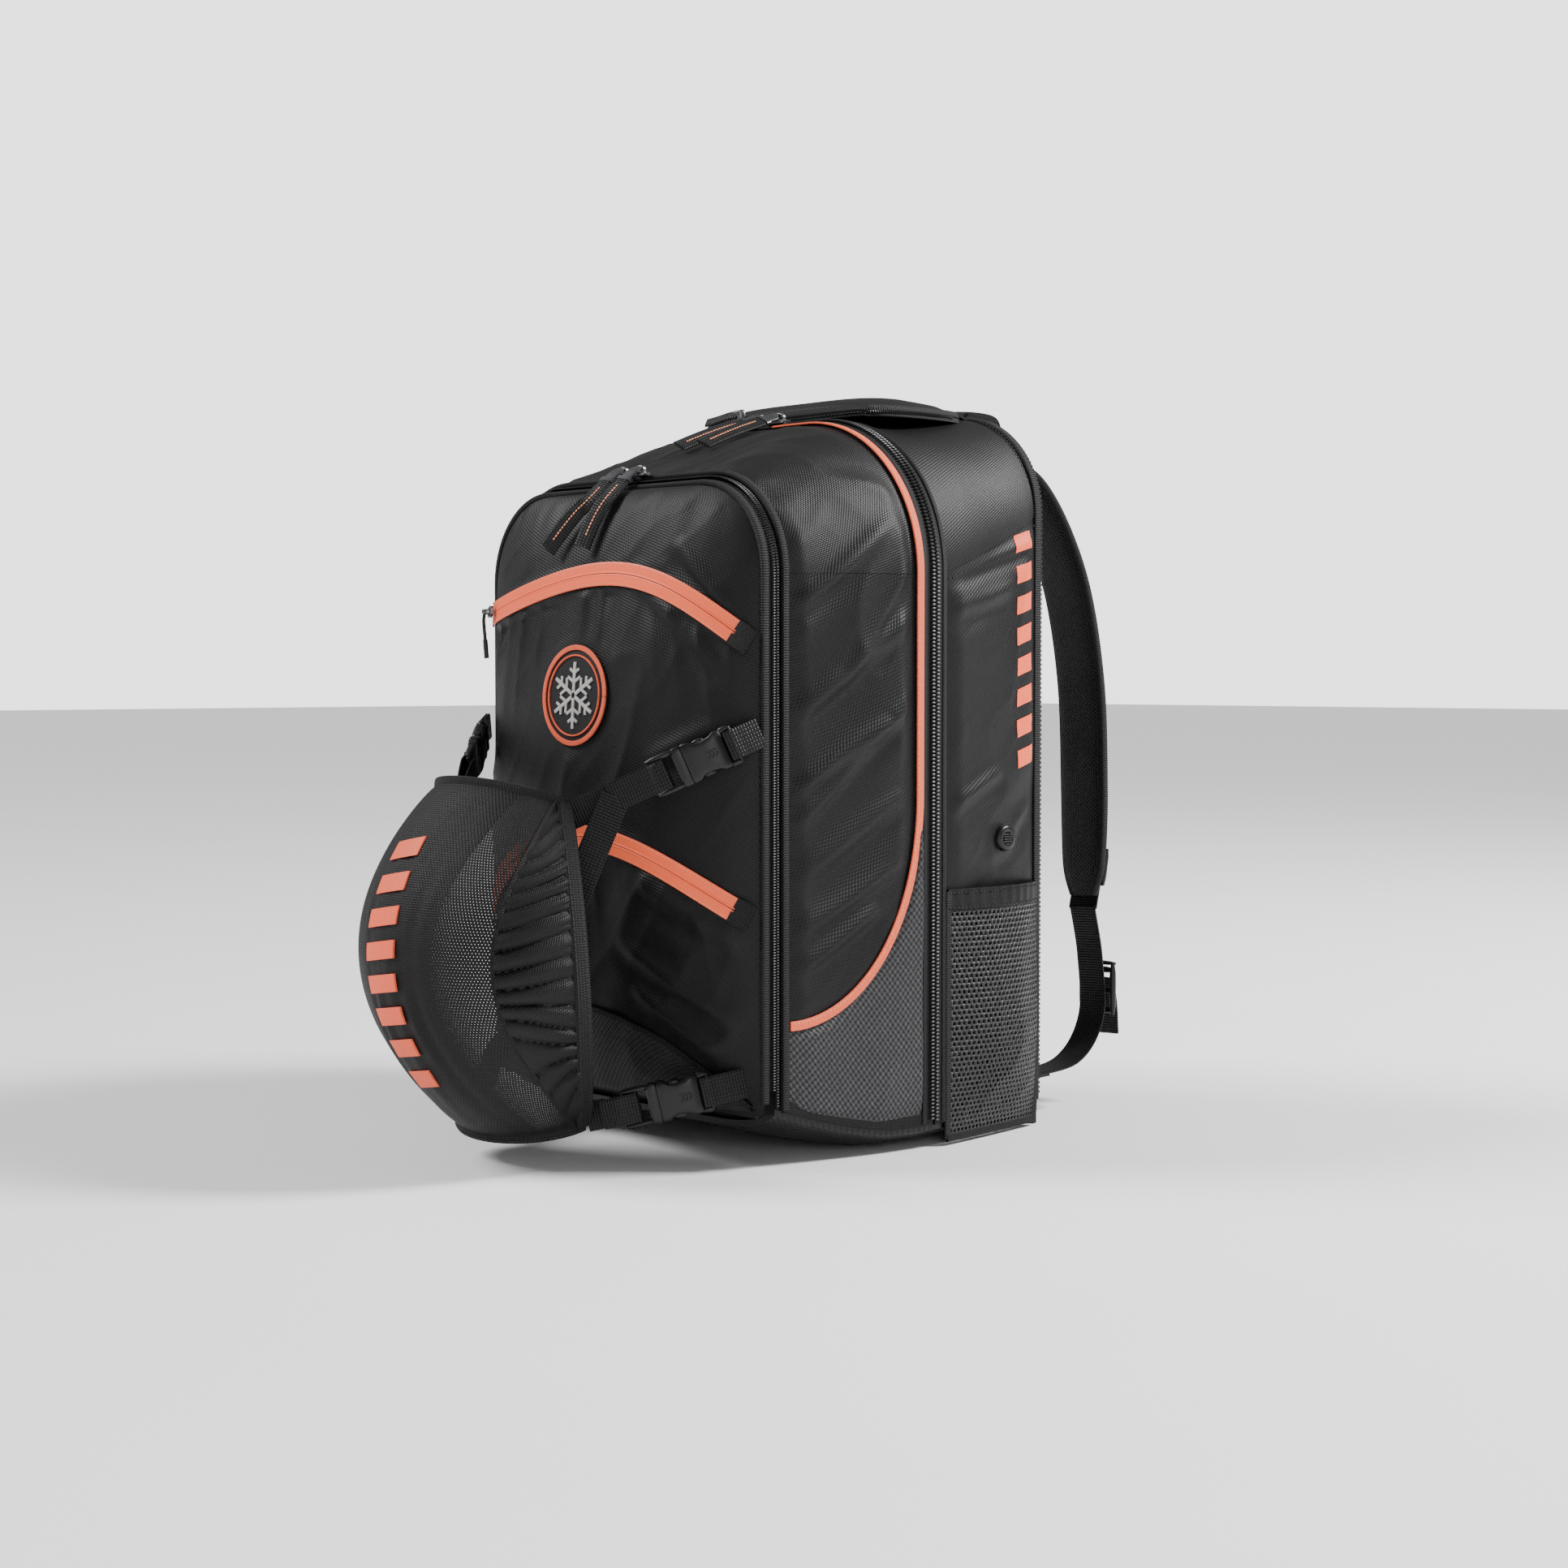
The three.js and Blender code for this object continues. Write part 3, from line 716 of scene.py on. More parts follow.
@dataclass(frozen=True)
class Cloth:
    """A woven or knitted finish.

    Fields:
        name: The finish's name.
        slot: The record's slot. It is not used.
        dark: The cloth's colour between the threads, darker there as painted shade.
        light: The colour on top of the threads, lighter there as a painted glint.
        weave: How the threads cross.
        pitch: The distance from one thread to the next, in millimetres.
        relief: How far the threads stand out, in millimetres.
        roughness: The shader's roughness.
        sheen: The share of soft sheen.
        hole: The radius of a knit's holes, as a share of the pitch.
        coat: The share of a clear coat.
        gloss: How strongly the threads reflect.
    """

    name: str
    slot: Slot
    dark: Colour
    light: Colour
    weave: Weave
    pitch: float
    relief: float = 0.25
    roughness: float = 0.6
    sheen: float = 0.0
    hole: float = 0.0
    coat: float = 0.0
    gloss: float = 0.22

    def threads(self, w: Wiring) -> Socket:
        """The height of the threads, from 0 between them to 1 on top.

        A twill or a basket is the product of two sine waves, along the diagonals or along the cloth.
        Ribs are the size of one sine wave, and a chevron that of one whose slant turns back at each row,
        as a triangle wave does. A knit rises with the distance from the nearest hole.

        Args:
            w: The material's wiring.
        Returns:
            The height.
        """
        u, v = w.flat()
        turn = 2 * math.pi / (self.pitch * MM)
        if self.weave in (Weave.TWILL, Weave.BASKET):
            if self.weave is Weave.TWILL:
                a, b = w.math("ADD", u, v), w.math("SUBTRACT", u, v)
                a, b = w.math("MULTIPLY", a, turn * 0.5), w.math("MULTIPLY", b, turn * 0.25)
            else:
                a, b = w.math("MULTIPLY", u, turn * 0.5), w.math("MULTIPLY", v, turn * 0.5)
            both = w.math("MULTIPLY", w.math("SINE", a), w.math("SINE", b))
            return w.math("MULTIPLY_ADD", both, 0.5, 0.5)
        if self.weave is Weave.RIBS:
            wave = w.math("SINE", w.math("MULTIPLY", u, turn * 0.5))
            cross = w.math("SINE", w.math("MULTIPLY", v, turn * 0.8))
            return w.math("MULTIPLY_ADD", cross, 0.2, w.math("ABSOLUTE", wave), clamp=True)
        if self.weave is Weave.CHEVRON:
            zigzag = w.math("PINGPONG", v, self.pitch * MM * 2.2)
            slant = w.math("MULTIPLY", w.math("MULTIPLY_ADD", zigzag, 0.8, u), turn * 0.5)
            return w.math("ABSOLUTE", w.math("SINE", slant))
        return w.math("MULTIPLY", self.from_hole(w, u, v), 2.4, clamp=True)

    def from_hole(self, w: Wiring, u: Socket, v: Socket) -> Socket:
        """Returns the squared distance from the nearest hole in staggered rows, in pitches."""
        row = w.math("DIVIDE", v, self.pitch * MM * 0.87)
        odd = w.math("MULTIPLY", w.math("MODULO", w.math("FLOOR", row), 2.0), 0.5)
        along = w.math("ADD", w.math("DIVIDE", u, self.pitch * MM), odd)
        a = w.math("SUBTRACT", w.math("FRACT", along), 0.5)
        b = w.math("MULTIPLY", w.math("SUBTRACT", w.math("FRACT", row), 0.5), 0.87)
        return w.math("ADD", w.math("MULTIPLY", a, a), w.math("MULTIPLY", b, b))

    def material(self) -> bpy.types.Material:
        """Returns the finish as a material."""
        w = Wiring(self.name, self.roughness)
        height = self.threads(w)
        yarn = w.noise(700.0, 3.0)
        # Large random patches: wear in the roughness, and stronger or weaker painted glints in the colour.
        wear_and_glint_noise = w.noise(11.0, 4.0)
        share = w.math("MULTIPLY", height, w.math("MULTIPLY_ADD", yarn, 1.5, -0.1), clamp=True)
        glint_patches = w.math("MULTIPLY_ADD", wear_and_glint_noise, 0.9, 0.5)
        # Painted light: the colour runs from dark between the threads, as painted shade, to light on their
        # tops, as painted glints, in random patches.
        w.colour(w.blend(w.math("MULTIPLY", share, glint_patches, clamp=True), self.dark, self.light))
        w.rough(wear_and_glint_noise, self.roughness - 0.09, self.roughness + 0.12)
        w.bump(w.math("MULTIPLY_ADD", yarn, 0.5, height), self.relief)
        w.shader.inputs["Sheen Weight"].default_value = self.sheen
        w.shader.inputs["Sheen Roughness"].default_value = 0.45
        w.shader.inputs["Specular IOR Level"].default_value = self.gloss
        w.shader.inputs["Coat Weight"].default_value = self.coat
        w.shader.inputs["Coat Roughness"].default_value = 0.35
        if self.hole:
            u, v = w.flat()
            w.holes(w.math("GREATER_THAN", self.from_hole(w, u, v), self.hole**2))
        return w.material


@dataclass(frozen=True)
class Moulded:
    """Moulded plastic with a fine spark-eroded grain.

    Fields:
        name: The finish's name.
        slot: The record's slot. It is not used.
        colour: Its colour.
        roughness: The shader's roughness.
        grain: How far the grain stands out, in millimetres.
    """

    name: str
    slot: Slot
    colour: Colour
    roughness: float = 0.34
    grain: float = 0.05

    def material(self) -> bpy.types.Material:
        """Returns the finish as a material."""
        w = Wiring(self.name, self.roughness)
        grain, scuffs = w.noise(1400.0, 3.0), w.noise(60.0, 6.0)
        pale = tuple(c * 2.2 + 0.004 for c in self.colour)
        w.colour(w.blend(w.math("POWER", scuffs, 3.0), self.colour, pale))
        w.rough(scuffs, self.roughness - 0.1, self.roughness + 0.16)
        w.bump(grain, self.grain)
        w.shader.inputs["Specular IOR Level"].default_value = 0.3
        return w.material


@dataclass(frozen=True)
class Plated:
    """Plated zinc, darker in its scratches.

    Fields:
        name: The finish's name.
        slot: The record's slot. It is not used.
        colour: Its colour.
        roughness: The shader's roughness.
    """

    name: str
    slot: Slot
    colour: Colour
    roughness: float = 0.28

    def material(self) -> bpy.types.Material:
        """Returns the finish as a material."""
        w = Wiring(self.name, self.roughness)
        scratches, clouds = w.noise(900.0, 5.0), w.noise(90.0, 3.0)
        dark = tuple(c * 0.45 for c in self.colour)
        w.colour(w.blend(clouds, dark, self.colour))
        w.rough(scratches, self.roughness - 0.1, self.roughness + 0.2)
        w.bump(scratches, 0.04)
        w.shader.inputs["Metallic"].default_value = 0.95
        return w.material


Finish = Cloth | Moulded | Plated

# In each cloth below, the first colour is the cloth between its threads in painted shade, and the second a
# painted glint on their tops.
BLACK, COAL = (0.0008, 0.0008, 0.001), (0.0075, 0.0075, 0.0085)
PACK = Cloth(
    "pack cloth", Slot.PACK, (0.0016, 0.0016, 0.002), (0.0078, 0.0078, 0.009), Weave.TWILL, 1.5, 0.22, 0.5
)
LINING = Cloth("lining", Slot.PACK, (0.012, 0.012, 0.013), (0.05, 0.05, 0.053), Weave.BASKET, 0.9, 0.1, 0.5)
GATHERED = Cloth("gathered cloth", Slot.GATHERED, BLACK, COAL, Weave.TWILL, 1.2, 0.25, 0.5)
BALLISTIC = Cloth(
    "ballistic cloth", Slot.BALLISTIC, (0.002, 0.002, 0.0025), (0.095, 0.095, 0.1),
    Weave.BASKET, 2.2, 0.5, 0.5
)
APRON = Cloth(
    "apron cloth", Slot.BALLISTIC, (0.002, 0.002, 0.0025), (0.045, 0.045, 0.048), Weave.BASKET, 2.2, 0.5, 0.5
)
BASE = Cloth(
    "base cloth", Slot.BASE, (0.0015, 0.0015, 0.0018), (0.014, 0.014, 0.0155), Weave.BASKET, 2.4, 0.4, 0.42,
    coat=0.15
)
CORAL = Cloth(
    "coral tape", Slot.CORAL, (0.66, 0.075, 0.028), (0.97, 0.21, 0.1), Weave.CHEVRON, 1.3, 0.15, 0.55
)
SEALED = Cloth(
    "sealed coral", Slot.CORAL, (0.86, 0.12, 0.05), (0.97, 0.165, 0.07), Weave.RIBS, 1.0, 0.05, 0.36
)
ZIP_TAPE = Cloth("zip tape", Slot.COIL, BLACK, COAL, Weave.CHEVRON, 1.5, 0.3, 0.55)
TEETH = Moulded("zip teeth", Slot.COIL, (0.006, 0.006, 0.0065), 0.36, 0.08)
BINDING = Cloth("binding", Slot.WEBBING, BLACK, (0.011, 0.011, 0.012), Weave.RIBS, 1.7, 0.4, 0.6)
WEBBING = Cloth("webbing", Slot.WEBBING, BLACK, (0.014, 0.014, 0.0155), Weave.RIBS, 2.0, 0.45, 0.45)
THREAD = Cloth(
    "black thread", Slot.WEBBING, (0.004, 0.004, 0.0045), (0.035, 0.035, 0.038), Weave.RIBS, 0.5, 0.1, 0.5
)
CREAM = Cloth("cream thread", Slot.CORAL, (0.8, 0.26, 0.13), (0.97, 0.45, 0.27), Weave.RIBS, 0.5, 0.1, 0.5)
AIR = Cloth(
    "spacer mesh", Slot.AIR, (0.001, 0.001, 0.0012), (0.016, 0.016, 0.0175), Weave.KNIT, 3.2, 0.9, 0.7, 0.02
)
PAD_CLOTH = Cloth("pad cloth", Slot.AIR, BLACK, COAL, Weave.TWILL, 1.2, 0.25, 0.62)
POUCH = Cloth(
    "open knit", Slot.POUCH, BLACK, (0.05, 0.05, 0.053), Weave.KNIT, 4.2, 1.2, 0.38, hole=0.33, gloss=0.5
)
NET = Cloth("fine net", Slot.NET, BLACK, (0.016, 0.016, 0.0175), Weave.KNIT, 2.3, 0.3, 0.55, hole=0.13)
DENSE = Cloth("dense knit", Slot.NET, BLACK, (0.011, 0.011, 0.012), Weave.KNIT, 1.9, 0.4, 0.55)
SATIN = Cloth(
    "silver thread", Slot.EMBLEM, (0.3, 0.29, 0.28), (0.72, 0.7, 0.67), Weave.RIBS, 0.7, 0.25, 0.45, 0.3
)
SATIN_CORAL = Cloth(
    "coral thread", Slot.EMBLEM, (0.66, 0.075, 0.03), (0.97, 0.19, 0.09), Weave.RIBS, 0.7, 0.25, 0.45
)
PATCH = Cloth(
    "patch ground", Slot.EMBLEM, (0.002, 0.002, 0.0025), (0.02, 0.02, 0.022), Weave.TWILL, 0.8, 0.15, 0.6
)
PRINT = Cloth(
    "coral print", Slot.CORAL, (0.82, 0.11, 0.045), (0.96, 0.165, 0.075), Weave.TWILL, 1.5, 0.2, 0.5
)
PLASTIC = Moulded("buckle plastic", Slot.PLASTIC, (0.004, 0.004, 0.0045))
METAL = Plated("dark nickel", Slot.METAL, (0.2, 0.2, 0.21))

MADE: dict[str, bpy.types.Material] = {}


def material_of(finish: Finish) -> bpy.types.Material:
    """Returns a finish's material, made once."""
    if finish.name not in MADE:
        MADE[finish.name] = finish.material()
    return MADE[finish.name]


# ---- from forms to pieces

FRONT_BODIES = (
    "front_section", "front_pocket", "coral_zip_slider", "main_slider", "main_pull", "pocket_slider",
    "pocket_pull"
)
Vectorlike = tuple[float, float, float]


class Fold(Enum):
    """How a piece gives way when its half of the bag opens."""

    AUTO = "by its body"
    NET = "with the net"
    STRAP = "towards its anchor"
    NONE = "stiff"


def mesh_of(name: str, form: Form) -> bpy.types.Mesh:
    """Returns a mesh with its cloth coordinates, in metres and in the frame's place."""
    mesh = bpy.data.meshes.new(name)
    points = (form.points + (0.0, ZIP_Y, 0.0)) * MM
    faces = form.quads.tolist() + [c.tolist() for c in form.caps]
    mesh.from_pydata(points.tolist(), [], faces)
    corner = np.zeros(len(mesh.loops), np.int32)
    mesh.loops.foreach_get("vertex_index", corner)
    layer = mesh.uv_layers.new(name="Cloth")
    layer.data.foreach_set("uv", form.cloth[corner].astype(np.float32).ravel())
    mesh.polygons.foreach_set("use_smooth", np.ones(len(mesh.polygons), bool))
    mesh.set_sharp_from_angle(angle=math.radians(SHARP))
    mesh.update()
    return mesh


def add(name: str, data: bpy.types.ID) -> bpy.types.Object:
    """Puts a new object into the scene."""
    made = bpy.data.objects.new(name, data)
    bpy.context.scene.collection.objects.link(made)
    return made


def piece(
    name: str,
    form: Form,
    finish: Finish,
    body: str,
    nodes: Sequence[str] = (),
    fold: Fold = Fold.AUTO,
) -> bpy.types.Object:
    """Makes one piece of the bag and puts it on its body.

    Args:
        name: The piece's name.
        form: Its form.
        finish: Its finish.
        body: The body that it rides on.
        nodes: The CAD nodes that it stands for.
        fold: How it gives way.
    Returns:
        The piece.
    """
    body = getattr(body, "value", body)
    made = add(name, mesh_of(name, form))
    made.data.materials.append(material_of(finish))
    if nodes:
        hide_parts(*nodes)
    settle(made, body, fold)
    LOG.info("%s: %d faces", name, len(made.data.polygons))
    return made


def settle(made: bpy.types.Object, body: str, fold: Fold) -> None:
    """Rides a piece on its body, and gives it its own copy of its mesh on the net, on a strap, or on a front
    body.
    """
    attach(made, body)
    if fold is Fold.NET:
        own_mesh(made)
    elif fold is Fold.STRAP:
        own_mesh(made)
    elif fold is Fold.AUTO and body.startswith(FRONT_BODIES):
        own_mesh(made)


def seam(track: Track, pitch: float = 3.4, size: float = 0.9) -> Form:
    """Returns a row of stitches along a track."""
    return track.repeated(pitch, bead(pitch * 0.72, size, size * 0.7))


def coil(track: Track, side: float, size: float = MAIN_COIL) -> Form:
    """Returns one half of a zip's teeth, which lie across the track on one side of its middle."""
    proto = tooth(1.9 * size, 2.2 * size, 4.0 * size)
    return track.moved(aside=side * 2.3 * size).repeated(2.6 * size, proto, 0.65 * size * (1 + side))


# ---- shared shapes


def grid(nu: int, nv: int) -> tuple[Array, Array]:
    """Returns two coordinates from 0 to 1 over a grid."""
    return np.meshgrid(np.linspace(0, 1, nu), np.linspace(0, 1, nv), indexing="ij")


def fade(a: Array, margin: float) -> Array:
    """Returns 0 at both ends of a share from 0 to 1, and 1 further in than a margin, smoothly."""
    return smooth(np.clip(np.minimum(a, 1 - a) / margin, 0, 1))


@dataclass(frozen=True)
class BarRow:
    """A row of plain slanted bars, one above the other.

    Fields:
        count: How many bars it has.
        start: The first bar's lower corner, across and upwards.
        pitch: The distance from one bar to the next.
        size: A bar's width and height.
        slant: How much higher a bar's far end lies.
    """

    count: int
    start: tuple[float, float]
    pitch: float
    size: tuple[float, float]
    slant: float

    def places(self) -> list[tuple[Array, Array]]:
        """Returns each bar's coordinates across and upwards, over a grid."""
        a, b = grid(14, 12)
        (x, z), (wide, high) = self.start, self.size
        return [(x + wide * a, z + self.pitch * n + high * b + self.slant * a) for n in range(self.count)]


def turned(
    profile: Sequence[tuple[float, float]], sides: int, place: Callable[[Array, Array, Array], Array]
) -> Form:
    """A form turned about an axis: its profile's radius and height are carried round a circle.

    Args:
        profile: Radius and height of each ring, closed by a cap at either end.
        sides: How many points go round.
        place: Puts the first and second coordinate in the circle's plane and the height in space.
    Returns:
        The closed form.
    """
    radius, height = np.array(profile, float).T[:, :, None]
    angle = np.arange(sides) / sides * 2 * np.pi
    a, b = radius * np.cos(angle), radius * np.sin(angle)
    height = np.broadcast_to(height, a.shape)
    return rings(place(a, b, height), np.stack([a, b], -1) * MM)


def loft(stations: Sequence[tuple[float, float, float, float]], profile: Profile, sides: int = 20) -> Form:
    """A form along X whose cross-section changes from station to station.

    Args:
        stations: For each, the place along X, the width along Y, the thickness along Z, and the
            height of its middle.
        profile: How square the cross-section is.
        sides: How many points go round.
    Returns:
        The closed form.
    """
    x, w, t, h = np.array(stations, float).T[:, :, None]
    shape = outline(profile, sides)
    y, z = w * shape[:, 0], t * shape[:, 1] + h
    x = np.broadcast_to(x, y.shape)
    return rings(np.stack([x, y, z], -1), np.stack([x, y], -1) * MM)


def bar(start: Sequence[float], end: Sequence[float], width: float, thick: float) -> Form:
    """Returns a rounded bar between two points, with its width square to Z or along X."""
    path = evenly(np.array([start, end], float), 6)
    upright = abs(path[1, 2] - path[0, 2]) > 0.9 * np.linalg.norm(path[1] - path[0])
    track = Track.facing(path, np.array([0.0, -1.0, 0.0] if upright else [0.0, 0.0, 1.0]))
    swell = np.array([0.55, 0.95, 1, 1, 0.95, 0.55])
    return track.ribbon(width * swell, thick * swell, Profile.ROUND, 10)


# ---- the rear half


@dataclass
class RearHalf:
    """The half against the wearer: side walls, top, floor, and its half of the main zip.

    Fields:
        puff: How far a side wall stands out between its seams.
        fold: The height of the folds.
        vent: Where the vent sits, as depth and height; the wall is calm round it.
        noise: The folds' noise.
    """

    puff: float = 3.5
    fold: float = 3.6
    vent: tuple[float, float] = (76.0, 213.0)
    noise: Noise = field(default_factory=lambda: Noise(21))

    def relief(self, side: int, y: Array, z: Array) -> Array:
        """Folds of a side wall: slanting soft ones, with four creases that run back from the zip."""
        soft = self.noise.folds(y + 40 * side, z, 62, 34, 150) * self.fold
        fine = self.noise.folds(y, z + 30 * side, 35, 13, 90) * 0.9
        long = crease(y, z, (8, 398, 116, 428), 5, 3.6) + crease(y, z, (12, 372, 90, 392), 7, 2.4)
        low = crease(y, z, (14, 236, 74, 262), 6, 3.2) + crease(y, z, (60, 196, 112, 240), 6, 2.6)
        calm = 1 - np.exp(-((np.hypot(y - self.vent[0], z - self.vent[1]) / 17) ** 4))
        return (soft + fine + long + low) * calm

    def proud(self, side: int, s: Array, y: Array) -> Array:
        """Returns how far a side wall stands out of the shell: nothing at its seams, then puff and folds."""
        u = (y - TAPE - GAP) / (BACK - TAPE - GAP)
        v = (s - SHOULDER) / (1 - SHOULDER)
        z = shell(s, y)[..., 2]
        return fade(u, 0.16) * fade(v, 0.05) * (
            self.relief(side, y, z) + self.puff
        ) - 0.6 * (1 - fade(u, 0.07))

    def build(self) -> None:
        """Makes the walls, the top, the floor, the zip half and the seams between them."""
        y0 = TAPE + GAP
        for name, side in SIDES:
            u, v = grid(54, 150)
            s, y = mix(SHOULDER, 1.0, v), mix(y0, BACK, u)
            proud = self.proud(side, s, y)
            form = wall_slab(side, s, y, proud)
            piece(f"rear_wall_{name}", form, PACK, Body.PACK, [f"rear_side_{name}"])
        u, v = grid(150, 54)
        s, y = mix(-0.5, 0.5, u), mix(y0, BACK, v)
        lift = fade(v, 0.16) * (self.noise.folds(s * GIRTH, y, 15, 38, 150) * self.fold * 0.7 + 1.0)
        form = slab(shell(s, y, lift), shell(s, y, lift * 0.5 - WALL))
        piece("rear_crown", form, PACK, Body.PACK, ["rear_top"])
        piece("rear_base", base_form(GAP / 2, BACK), BASE, Body.PACK, ["rear_floor"])
        self.seams()
        self.zip()

    def seams(self) -> None:
        """Sews the shoulder seams, the binding round the back panel and the base's binding."""
        joins, stitches = [], []
        for _, side in SIDES:
            line = on_shell(side * np.full(40, 0.502), np.linspace(14, 119, 40), 0.5)
            stitches.append(seam(line.moved(aside=4.0, up=-0.2)))
            rim = on_shell(side * np.full(50, 0.996), np.linspace(1, 121, 50), 0.2)
            joins.append(rim.ribbon(*FOOT_BAND))
        around = on_shell(np.linspace(-0.999, 0.999, 260), BACK - 1.5, 0.8)
        joins.append(around.ribbon(7.5, 3.4, Profile.PAD))
        piece("rear_bindings", together(joins), BINDING, Body.PACK)
        stitches.append(seam(around.moved(aside=-5.5, up=-0.6)))
        stitches.append(seam(around.moved(aside=5.5, up=-0.6)))
        piece("rear_stitches", together(stitches), THREAD, Body.PACK)

    def zip(self) -> None:
        """Makes the rear half of the main zip: a tape with a rolled edge, and its teeth."""
        s = np.linspace(-1, 1, 360)
        tape = on_shell(s, TAPE / 2 + 0.4, 0.5).ribbon(*MAIN_TAPE)
        roll = on_shell(s, TAPE - 0.4, 1.0).ribbon(4.2, 2.6, Profile.ROUND)
        piece("main_zip_tape_rear", together([tape, roll]), ZIP_TAPE, Body.PACK, ["main_zip_rear"])
        piece("main_zip_teeth_rear", coil(on_shell(s, 0.0, 0.9), TEETH_REAR), TEETH, Body.PACK)


def base_form(y0: float, y1: float) -> Form:
    """A stretch of the floor, drawn up at its sides to meet the walls.

    Its height is the floor's, plus the tuck times the eighth power of the share across it.

    Args:
        y0: The depth at which it starts.
        y1: The depth at which it ends.
    Returns:
        The closed form.
    """
    u, v = grid(80, 40)
    y = mix(y0, y1, v)
    half, _, floor, _ = section(y)
    across = np.sin((u - 0.5) * np.pi)
    z = floor + TUCK * across**8
    return slab(stack(across * half, y, z), stack(across * half, y, z + WALL))


# ---- the padded back and the harness


VOXEL, FRAMES = 0.005, 20  # the pads' remeshing in metres, and how long they are blown up


def inflate(made: bpy.types.Object, cap: float, pressure: float = 4.0) -> None:
    """Blows a closed pad up as cloth, and keeps the result.

    The mesh is remeshed at 5 mm, simulated without gravity for 20 frames under pressure, and no
    point is let further than a cap from where it started. One smoothing subdivision follows.

    Args:
        made: The pad.
        cap: How far a point may move, in millimetres.
        pressure: The pressure inside.
    """
    view = bpy.context.view_layer
    view.objects.active = made
    remesh = made.modifiers.new("voxels", "REMESH")
    remesh.mode, remesh.voxel_size = "VOXEL", VOXEL
    apply_modifiers(made)
    start = points_of(made.data)
    cloth = made.modifiers.new("cloth", "CLOTH")
    cloth.settings.use_pressure, cloth.settings.uniform_pressure_force = True, pressure
    cloth.settings.effector_weights.gravity = 0.0
    cloth.settings.quality = 4
    cloth.point_cache.frame_start, cloth.point_cache.frame_end = 1, FRAMES
    for number in range(1, FRAMES + 1):
        bpy.context.scene.frame_set(number)
    apply_modifiers(made)
    moved = points_of(made.data) - start
    far = np.linalg.norm(moved, axis=1, keepdims=True)
    moved *= np.minimum(1.0, cap * MM / np.maximum(far, 1e-9))
    made.data.vertices.foreach_set("co", (start + moved).astype(np.float32).ravel())
    bpy.context.scene.frame_set(1)
    finer = made.modifiers.new("finer", "SUBSURF")
    finer.levels = finer.render_levels = 1
    apply_modifiers(made)
    made.data.polygons.foreach_set("use_smooth", np.ones(len(made.data.polygons), bool))


def apply_modifiers(made: bpy.types.Object) -> None:
    """Replaces an object's mesh by what its modifiers make of it, and removes them."""
    bpy.context.view_layer.update()
    graph = bpy.context.evaluated_depsgraph_get()
    final = bpy.data.meshes.new_from_object(made.evaluated_get(graph), depsgraph=graph)
    made.modifiers.clear()
    made.data = final


def points_of(mesh: bpy.types.Mesh) -> Array:
    """Returns a mesh's points."""
    co = np.zeros(len(mesh.vertices) * 3, np.float32)
    mesh.vertices.foreach_get("co", co)
    return co.reshape(-1, 3).astype(float)


def flat_cloth(made: bpy.types.Object) -> None:
    """Gives a remeshed pad its cloth coordinates again, its width and height."""
    mesh = made.data
    corner = np.zeros(len(mesh.loops), np.int32)
    mesh.loops.foreach_get("vertex_index", corner)
    layer = mesh.uv_layers.get("Cloth") or mesh.uv_layers.new(name="Cloth")
    layer.data.foreach_set("uv", points_of(mesh)[corner][:, [0, 2]].astype(np.float32).ravel())


